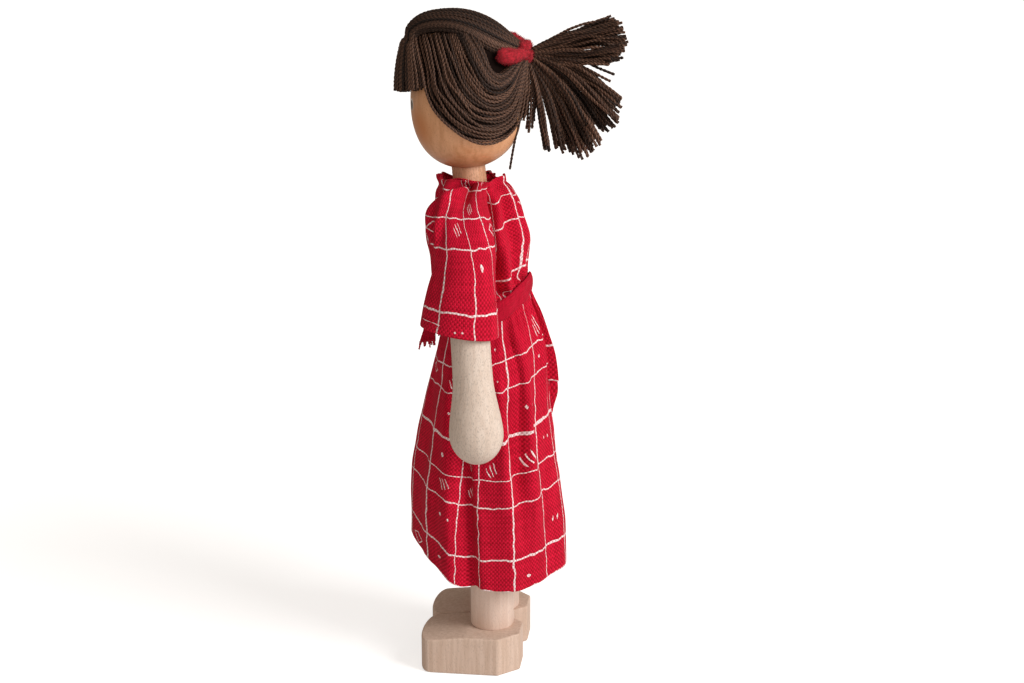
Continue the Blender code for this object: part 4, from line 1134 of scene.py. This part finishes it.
# From the fringe's ends over the top to the tie: the crown's middle line and its left edge.
CROWN_TOP = (
    (0, -17.0, 0.5), (0, -16.9, 3.1), (0, -16.4, 7.0), (0, -15.6, 10.8), (0, -14.7, 13.9), (0, -13.1, 16.9),
    (0, -10.9, 18.9), (0, -7.9, 20.0), (0, -4.3, 20.5), (0, -0.8, 20.6), (0, 2.8, 20.1), (0, 6.2, 19.0),
    (0, 9.3, 17.4), (0, 12.0, 15.4), (0, 14.7, 13.1), (0, 17.4, 11.3),
)
CROWN_EDGE = (
    (11.6, -8.3, 1.9), (11.4, -8.6, 5.2), (10.6, -9.3, 8.6), (8.9, -10.3, 12.0), (7.4, -10.8, 14.3),
    (7.2, -9.6, 15.7), (7.9, -7.4, 16.3), (8.7, -4.9, 16.6), (9.3, -2.4, 16.6), (9.7, 0.3, 16.2),
    (9.7, 2.9, 15.3), (9.2, 5.5, 13.9), (8.2, 7.8, 12.3), (6.6, 10.2, 10.9), (4.6, 12.8, 10.3),
    (1.3, 17.2, 10.2),
)


def even_line(points):
    """Smooth line through points, cut into equal lengths for a strand."""
    line = [Vector(point) for point in smooth_line(points, 12)]
    lengths = run_along(line)
    spots = []
    index = 0
    for number in range(STRAND_POINTS):
        wanted = lengths[-1] * number / (STRAND_POINTS - 1)
        while index < len(line) - 2 and lengths[index + 1] < wanted:
            index += 1
        share = (wanted - lengths[index]) / max(1e-9, lengths[index + 1] - lengths[index])
        spots.append(line[index].lerp(line[index + 1], min(1, share)))
    return spots


side_lines = [even_line(guide) for guide in SIDE_GUIDES]
crown_top = even_line(CROWN_TOP)
crown_edge = even_line(CROWN_EDGE)


def on_head(spot, side=1):
    """Place of a point in millimetres from the head's middle, or of its mirror image."""
    return HEAD + Vector((side * spot[0], spot[1], spot[2])) * MM


def off_head(spot, clearance):
    """Push a point, in millimetres from the head's middle, out to a clearance off the wood."""
    least = egg_reach(spot) / MM + clearance
    if spot.length < least:
        return spot * (least / spot.length)
    return spot


def side_spot(share, step, sink):
    """Point on the swept side hair; share 0 is the hairline and 1 lies beside the tie."""
    outer, middle, inner = (line[step] for line in side_lines)
    low = (1 - share) * (1 - 2 * share)
    centre = 4 * share * (1 - share)
    high = share * (2 * share - 1)
    spot = low * outer + centre * middle + high * inner
    sink += 2.8 * bump(share, 0.95, 0.18) * bump(step / STRAND_POINTS, 0.5, 0.24)
    return off_head(spot * (1 - sink / spot.length), max(0.2, STRAND_CLEAR - sink))


def crown_spot(across, step, sink):
    """Point on a crown strand; across runs from the right edge (-1) to the left edge (1)."""
    top = crown_top[step]
    edge = crown_edge[step]
    turn = math.pi / 2 * max(-1, min(1, across))
    rise = math.cos(turn)
    spot = Vector((edge.x * math.sin(turn), mix(edge.y, top.y, rise), mix(edge.z, top.z, rise)))
    sink += 0.8 * bump(step / (STRAND_POINTS - 1), PARTING, 0.022)
    return off_head(spot * (1 - sink / spot.length), STRAND_CLEAR)


chance = random.Random(31)
for side_name, side in SIDES:
    strands = []
    for layer, count, sink in ((0, 33, 0.7), (1, 36, 0.0)):
        for index in range(count):
            share = (index + 0.5 * layer) / (count - 0.5)
            lift = chance.uniform(-0.5, 0.25)
            strand = []
            for step in range(STRAND_POINTS):
                wobble = 0.028 * noise.noise(Vector((index * 3.1 + layer * 50, step * 0.09, side)))
                spot = side_spot(min(1, max(0, share + wobble)), step, sink - lift)
                strand.append((on_head(spot, side), 1.0))
            strands.append(strand)
    swept = swept_piece("hair_%s_yarn" % side_name, strands, yarn_tree, {**HAIR_YARN, "Seed": 11 + side})
    fix(swept, "head", "hair_yarn", "hair_" + side_name)

strands = []
for layer, count, sink in ((0, 42, 0.75), (1, 50, 0.0)):
    for index in range(count):
        across = 2 * (index + 0.5) / count - 1 + chance.uniform(-0.012, 0.012)
        lift = chance.uniform(-0.45, 0.25)
        strand = []
        for step in range(STRAND_POINTS):
            wobble = 0.022 * noise.noise(Vector((index * 2.7 + layer * 40, step * 0.08, 5.0)))
            strand.append((on_head(crown_spot(across + wobble, step, sink - lift)), 1.0))
        cut_end = strand[0][0] + Vector((0, -0.05, -chance.uniform(0.0, 0.7))) * MM
        strands.append([(cut_end, 1.0), *strand])
crown = swept_piece("hair_crown_yarn", strands, yarn_tree, {**HAIR_YARN, "Seed": 5})
fix(crown, "head", "hair_yarn", "hair_crown", "fringe")

# Hair backing: a near-black layer that the strands are laid in, its colour painted shade.
# It shows as shaded gaps between the strands, from the hairline to the crown, and as painted shade in the
# hollow in front of the tie.
BACKING_INSIDE = 0.985
BACKING_CLEAR = 0.45
# Corners of the sheet of painted shade in the hollow in front of the tie: front top, front low, back top and
# back low.
HOLLOW = ((9.8, 3.0, 15.0), (9.6, 9.5, 3.6), (2.5, 14.6, 12.0), (2.2, 16.4, 5.6))
finish = {"Roughness": 0.9, "Specular IOR Level": 0.05}
# Near-black, standing in for the shade between the strands.
shade_backing_material, tree, shader = new_material("backing in painted shade", finish)
nap = speckle(tree, own_place(tree), 1800.0)
coat(tree, shader, blend_colour(tree, nap, (0.004, 0.002, 0.0015, 1), (0.011, 0.0055, 0.004, 1)))


def backing_mesh(name, spots):
    """Closed thin patch through a grid of points, thickened towards the head."""
    bm = bmesh.new()
    outer = [[bm.verts.new(spot) for spot in row] for row in spots]
    inner = [[bm.verts.new(HEAD + BACKING_INSIDE * (spot - HEAD)) for spot in row] for row in spots]
    last_row = len(spots) - 1
    last = len(spots[0]) - 1
    for grid in (outer, inner):
        for upper, lower in zip(grid, grid[1:]):
            for j in range(last):
                bm.faces.new((upper[j], lower[j], lower[j + 1], upper[j + 1]))
    for i in range(last_row):
        for j in (0, last):
            bm.faces.new((outer[i][j], outer[i + 1][j], inner[i + 1][j], inner[i][j]))
    for j in range(last):
        for i in (0, last_row):
            bm.faces.new((outer[i][j], outer[i][j + 1], inner[i][j + 1], inner[i][j]))
    bmesh.ops.recalc_face_normals(bm, faces=bm.faces)
    return smooth(plain_mesh(name, bm), 60)


def hollow_spot(down, back):
    """Point in the hollow in front of the tie, from its top to its low edge and to the back."""
    front_top, front_low, back_top, back_low = (Vector(corner) for corner in HOLLOW)
    return off_head(front_top.lerp(front_low, down).lerp(back_top.lerp(back_low, down), back), BACKING_CLEAR)


patches = []
for side in (1, -1):
    steps = range(0, STRAND_POINTS - 6, 3)
    patches.append([[on_head(side_spot(i / 20, step, 1.0), side) for step in steps] for i in range(21)])
for side in (1, -1):
    patches.append([[on_head(hollow_spot(i / 12, j / 12), side) for j in range(13)] for i in range(13)])
steps = range(3, STRAND_POINTS - 4, 3)
across = [mix(-0.97, 0.97, i / 24) for i in range(25)]
patches.append([[on_head(crown_spot(share, step, 1.3)) for step in steps] for share in across])
for number, rows in enumerate(patches, 1):
    name = "hair_backing_%d" % number
    backing = add_piece(name, backing_mesh(name, rows), shade_backing_material)
    fix(backing, "head", "hair_yarn")

# Ponytail: the same yarn beyond the tie, cut blunt, in an upper fan and a heavier lower one.
# A few strands hang loose, one of them down beside the neck.
APEX = Vector((0, 18.4, 9.6))
TAIL_CLEAR = 0.8
TAIL_YARN = {**HAIR_YARN, "Strand Width": 1.05 * HAIR_YARN["Strand Width"]}
# Rise of a bunch in degrees, its reach, its bow in degrees at the tie and its lean to the side.
UPPER_BUNCHES = (
    (-4.5, 20.8, -12, 0.16), (-2.0, 22.4, -9, -0.12), (1.5, 23.6, -6, 0.05), (5.0, 24.2, -2, 0.20),
    (8.5, 24.6, 1, -0.18), (12.0, 24.6, 5, 0.08), (15.5, 24.4, 9, -0.05), (18.5, 24.0, 12, 0.14),
    (21.5, 23.0, 14, -0.10),
)
LOWER_BUNCHES = (
    (-27, 25.6, 23, 0.10), (-31, 27.0, 24, -0.16), (-35, 28.2, 24, 0.20), (-41, 28.2, 21, 0.02),
    (-46, 28.0, 18, -0.20), (-51, 28.8, 15, 0.16), (-56, 29.4, 12, -0.02), (-61, 29.6, 9, 0.12),
    (-66, 28.0, 7, -0.14), (-71, 26.4, 5, 0.08), (-78, 24.8, 4, 0.16),
)
INNER_BUNCH_LOWEST = -68
# Rise, reach, lean to the side and bow of each loose strand.
LOOSE_STRANDS = (
    (-13, 22.5, 0.05, 20), (-17, 22.0, 0.12, 18), (-20, 18.5, -0.06, 20), (-24, 20.0, 0.02, 16),
    (-81, 24.6, 0.10, 8), (-80, 25.2, 0.02, 10), (-88, 19.0, 0.12, 10), (-90, 20.0, 0.16, 10),
    (-92, 19.4, 0.06, 8), (-86, 17.5, -0.04, 16), (-94, 17.0, 0.20, 6), (-97, 15.0, 0.26, 6),
    (-95, 16.0, 0.14, 6), (-99, 13.5, 0.22, 4),
)
STRAY_STRAND = (
    (2.2, 17.2, 8.0), (3.0, 17.0, 2.0), (3.0, 16.6, -4.5), (2.6, 15.0, -11.0), (2.4, 14.0, -16.0),
    (2.3, 13.3, -20.2),
)


def tail_strand(rise, reach, sideways, bow, seed):
    """Strand from the tie outwards at a rise in degrees, bowed by some more degrees at its start."""
    points = []
    for step in range(19):
        share = step / 18
        angle = math.radians(rise + bow * (1 - share) ** 1.4)
        out = reach * share
        spot = APEX + Vector((sideways * out, out * math.cos(angle), out * math.sin(angle)))
        wave = Vector((1.2, -0.9 * math.sin(angle), 1.5 * math.cos(angle)))
        wave *= noise.noise(Vector((seed * 1.7, share * 3.2, 0.5))) * min(1, 2 * share)
        side_wave = Vector((noise.noise(Vector((seed * 2.3, share * 2.6, 9.0))), 0, 0)) * share
        spot += wave + side_wave + Vector((0, -1.8, 0.2)) * (1 - share) ** 4
        points.append((on_head(off_head(spot, TAIL_CLEAR)), 1.0))
    return points


def tail_bunch(rise, reach, bow, sideways, count, ragged):
    """Strands that cling together from the tie to their uneven cut ends."""
    strands = []
    start = chance.uniform(0, 90)
    for number in range(count):
        strand_rise = rise + chance.uniform(-2.3, 2.3)
        strand_reach = reach + chance.uniform(-ragged, 0.4 * ragged)
        lean = sideways + chance.uniform(-0.09, 0.09)
        strand_bow = bow + chance.uniform(-3, 3)
        strands.append(tail_strand(strand_rise, strand_reach, lean, strand_bow, start + 0.3 * number))
    return strands


upper = []
for rise, reach, bow, sideways in UPPER_BUNCHES:
    upper += tail_bunch(rise, reach, bow, sideways, 11, 1.5)
lower = []
for rise, reach, bow, sideways in LOWER_BUNCHES:
    lower += tail_bunch(rise, reach, bow, sideways, 10, 2.0)
    if rise > INNER_BUNCH_LOWEST:
        lower += tail_bunch(rise - 2.5, 0.9 * reach, bow, -sideways, 8, 3.0)
loose = [tail_strand(*strand, 400 + 3 * number) for number, strand in enumerate(LOOSE_STRANDS)]
loose.append([(on_head(spot), 0.9) for spot in smooth_line(STRAY_STRAND, 5)])
for name, strands, nodes in (
    ("ponytail_upper_yarn", upper, ("ponytail_upper", "ponytail_root")),
    ("ponytail_lower_yarn", lower, ("ponytail_middle", "ponytail_lower")),
    ("ponytail_loose_yarn", loose, ()),
):
    fan = swept_piece(name, strands, yarn_tree, {**TAIL_YARN, "Seed": len(strands)})
    fix(fan, "head", "hair_yarn", *nodes)

# Hair tie: a soft fuzzy red cord, wound round the ponytail and knotted so that a loop lies
# forward on each side of the head.
BAND_RADIUS = 1.8
BAND_Y = 16.7
BAND_LONG = 1.4
BAND_Z = 10.2
BAND_SHARE = 0.75
# Points from the head's middle in millimetres, with the cord's thickness share.
NEAR_LOOP = (
    (2.0, 17.6, 10.0, BAND_SHARE), (4.2, 16.4, 9.9, 1.0), (5.7, 14.8, 9.6, 1.25), (6.5, 13.1, 9.5, 1.4),
    (6.9, 11.8, 9.8, 1.25), (6.8, 11.0, 10.1, 0.85),
)
FAR_LOOP = (
    (-2.0, 17.4, 10.8, BAND_SHARE), (-3.8, 16.0, 11.4, 1.0), (-4.9, 14.4, 12.1, 1.2),
    (-5.4, 12.8, 13.1, 1.1), (-5.2, 11.6, 14.0, 0.7),
)


def cord_nodes():
    """Geometry nodes that sweep the cord and plant short fibres all over it."""
    sizes = [(label, "Float") for label in ("Cord Radius", "Step", "Fibre Length", "Fibre Density")]
    tree, given = sweep_tree("fuzzy cord", (*sizes, ("Seed", "Int"), ("Cord", "Material")))
    sockets = {"Curve": given["Geometry"], "Length": given["Step"]}
    even = put(tree, "GeometryNodeResampleCurve", sockets, mode="LENGTH")
    ring = put(tree, "GeometryNodeCurvePrimitiveCircle", {"Resolution": 20, "Radius": 1.0})
    width = sum_up(tree, "MULTIPLY", put(tree, "GeometryNodeInputRadius"), given["Cord Radius"])
    sockets = {"Curve": even, "Profile Curve": ring, "Scale": width, "Fill Caps": True}
    sweep = put(tree, "GeometryNodeCurveToMesh", sockets)
    lumps = put(tree, "ShaderNodeTexNoise", {"Scale": 900.0, "Detail": 2.0})
    lumps = sum_up(tree, "MULTIPLY", sum_up(tree, "SUBTRACT", lumps, 0.5), 0.9 * MM)
    outward = put(tree, "GeometryNodeInputNormal")
    push = put(tree, "ShaderNodeVectorMath", {0: outward, "Scale": lumps}, operation="SCALE")
    rough = put(tree, "GeometryNodeSetPosition", {"Geometry": sweep, "Offset": push})
    soft = put(tree, "GeometryNodeSetShadeSmooth", {"Geometry": rough})
    sockets = {"Mesh": soft, "Density": given["Fibre Density"], "Seed": given["Seed"]}
    roots = new_node(tree, "GeometryNodeDistributePointsOnFaces", sockets).outputs
    sockets = {"Vertices": 4, "Radius Top": 0.012 * MM, "Radius Bottom": 0.035 * MM}
    fibre = put(tree, "GeometryNodeMeshCone", {**sockets, "Depth": given["Fibre Length"]})
    sockets = {"Min": (-0.9, -0.9, 0.0), "Max": (0.9, 0.9, 6.28), "Seed": given["Seed"]}
    lean = put(tree, "FunctionNodeRandomValue", sockets, data_type="FLOAT_VECTOR")
    lean = put(tree, "FunctionNodeEulerToRotation", {0: lean})
    sockets = {"Rotation": roots["Rotation"], "Rotate By": lean}
    turned = put(tree, "FunctionNodeRotateRotation", sockets, rotation_space="LOCAL")
    sockets = {"Points": roots[0], "Instance": fibre, "Rotation": turned}
    planted = put(tree, "GeometryNodeInstanceOnPoints", sockets)
    both = new_node(tree, "GeometryNodeJoinGeometry")
    tree.links.new(planted, both.inputs[0])
    tree.links.new(soft, both.inputs[0])
    return end_tree(tree, both.outputs[0], given["Cord"])


tie_material, tree, shader = new_material("fuzzy red cord", {"Roughness": 0.9, "Sheen Weight": 0.06})
nap = ramp(tree, speckle(tree, own_place(tree), 1500.0), 0.3, 0.7)
coat(tree, shader, blend_colour(tree, nap, (0.26, 0.003, 0.010, 1), (0.48, 0.008, 0.023, 1)))
band = []
for step in range(61):
    turn = 2 * math.pi * step / 30
    around = BAND_RADIUS + 0.2 * math.sin(2.5 * turn)
    y = BAND_Y + BAND_LONG * step / 60
    band.append((around * math.cos(turn), y, BAND_Z + around * math.sin(turn), BAND_SHARE))
lines = []
for line in (band, smooth_line(NEAR_LOOP, 8), smooth_line(FAR_LOOP, 8)):
    lines.append([(on_head((x, y, z)), share) for x, y, z, share in line])
TIE_CORD = {
    "Cord Radius": 1.45 * MM, "Step": 0.35 * MM, "Fibre Length": 0.5 * MM, "Fibre Density": 9.0e6,
    "Seed": 3, "Cord": tie_material,
}
tie = swept_piece("hair_tie_cord", lines, cord_nodes(), TIE_CORD)
fix(tie, "head", "tie_cord", "hair_tie")

# Studio: a white floor under the doll, one large soft lamp from its back left and a weak one from
# its left, and an even dim warm light all round, which the camera sees as white.
FLOOR_HALF = 3.0
FLOOR_DROP = -0.1 * MM
# How the paper's glow grows from near the doll to far from it.
PAPER_GLOW = (0.08, 0.45, 0.62, 0.85)
WHITE = (1, 1, 1, 1)
SURROUNDINGS = (0.34, 0.30, 0.26, 1)
LAMPS = (("key", (0.27, 0.58, 0.46), 4.9, 0.35), ("fill", (0.62, 0.10, 0.30), 0.5, 0.5))
LAMPS_AIM = Vector((0, 0, 0.1))
CAMERA_PLACE = (433.9 * MM, 53.85 * MM, 208.5 * MM)
CAMERA_LENS = 58.75
CAMERA_SWING = math.radians(7)
CAMERA_PITCH = math.radians(15.1)
bm = bmesh.new()
bmesh.ops.create_grid(bm, x_segments=1, y_segments=1, size=FLOOR_HALF)
mesh = plain_mesh("floor", bm)
finish = {"Roughness": 0.9, "Base Color": (0.8, 0.8, 0.8, 1)}
floor_material, tree, shader = new_material("white floor", finish)
seen = new_node(tree, "ShaderNodeLightPath").outputs["Is Camera Ray"]
away = new_node(tree, "ShaderNodeVectorMath", {0: own_place(tree)}, operation="LENGTH").outputs["Value"]
strength = sum_up(tree, "MULTIPLY", seen, ramp(tree, away, *PAPER_GLOW))
glow = put(tree, "ShaderNodeEmission", {"Color": WHITE, "Strength": strength})
both = put(tree, "ShaderNodeAddShader", {0: shader.outputs[0], 1: glow})
tree.links.new(both, tree.nodes["Material Output"].inputs["Surface"])
floor = add_piece("floor", mesh, floor_material)
floor.location = (0, 0, FLOOR_DROP)

world = bpy.data.worlds.new("studio")
bpy.context.scene.world = world
world.use_nodes = True
tree = world.node_tree
seen = new_node(tree, "ShaderNodeLightPath").outputs["Is Camera Ray"]
tree.links.new(blend_colour(tree, seen, SURROUNDINGS, WHITE), tree.nodes["Background"].inputs["Color"])
tree.nodes["Background"].inputs["Strength"].default_value = 1.0

for name, spot, power, size in LAMPS:
    lamp_data = bpy.data.lights.new(name, "AREA")
    lamp_data.energy = power
    lamp_data.size = size
    lamp = add_piece(name, lamp_data)
    lamp.location = spot
    lamp.rotation_euler = (LAMPS_AIM - Vector(spot)).to_track_quat("-Z", "Y").to_euler()

camera_data = bpy.data.cameras.new("camera")
camera_data.sensor_width = 36
camera_data.lens = CAMERA_LENS
camera_data.clip_start = 0.01
camera = add_piece("camera", camera_data)
camera.location = CAMERA_PLACE
level = -math.cos(CAMERA_PITCH)
aim = Vector((math.cos(CAMERA_SWING) * level, math.sin(CAMERA_SWING) * level, -math.sin(CAMERA_PITCH)))
camera.rotation_euler = aim.to_track_quat("-Z", "Y").to_euler()
bpy.context.scene.camera = camera
bpy.context.scene.view_settings.view_transform = "Standard"

bpy.context.view_layer.update()
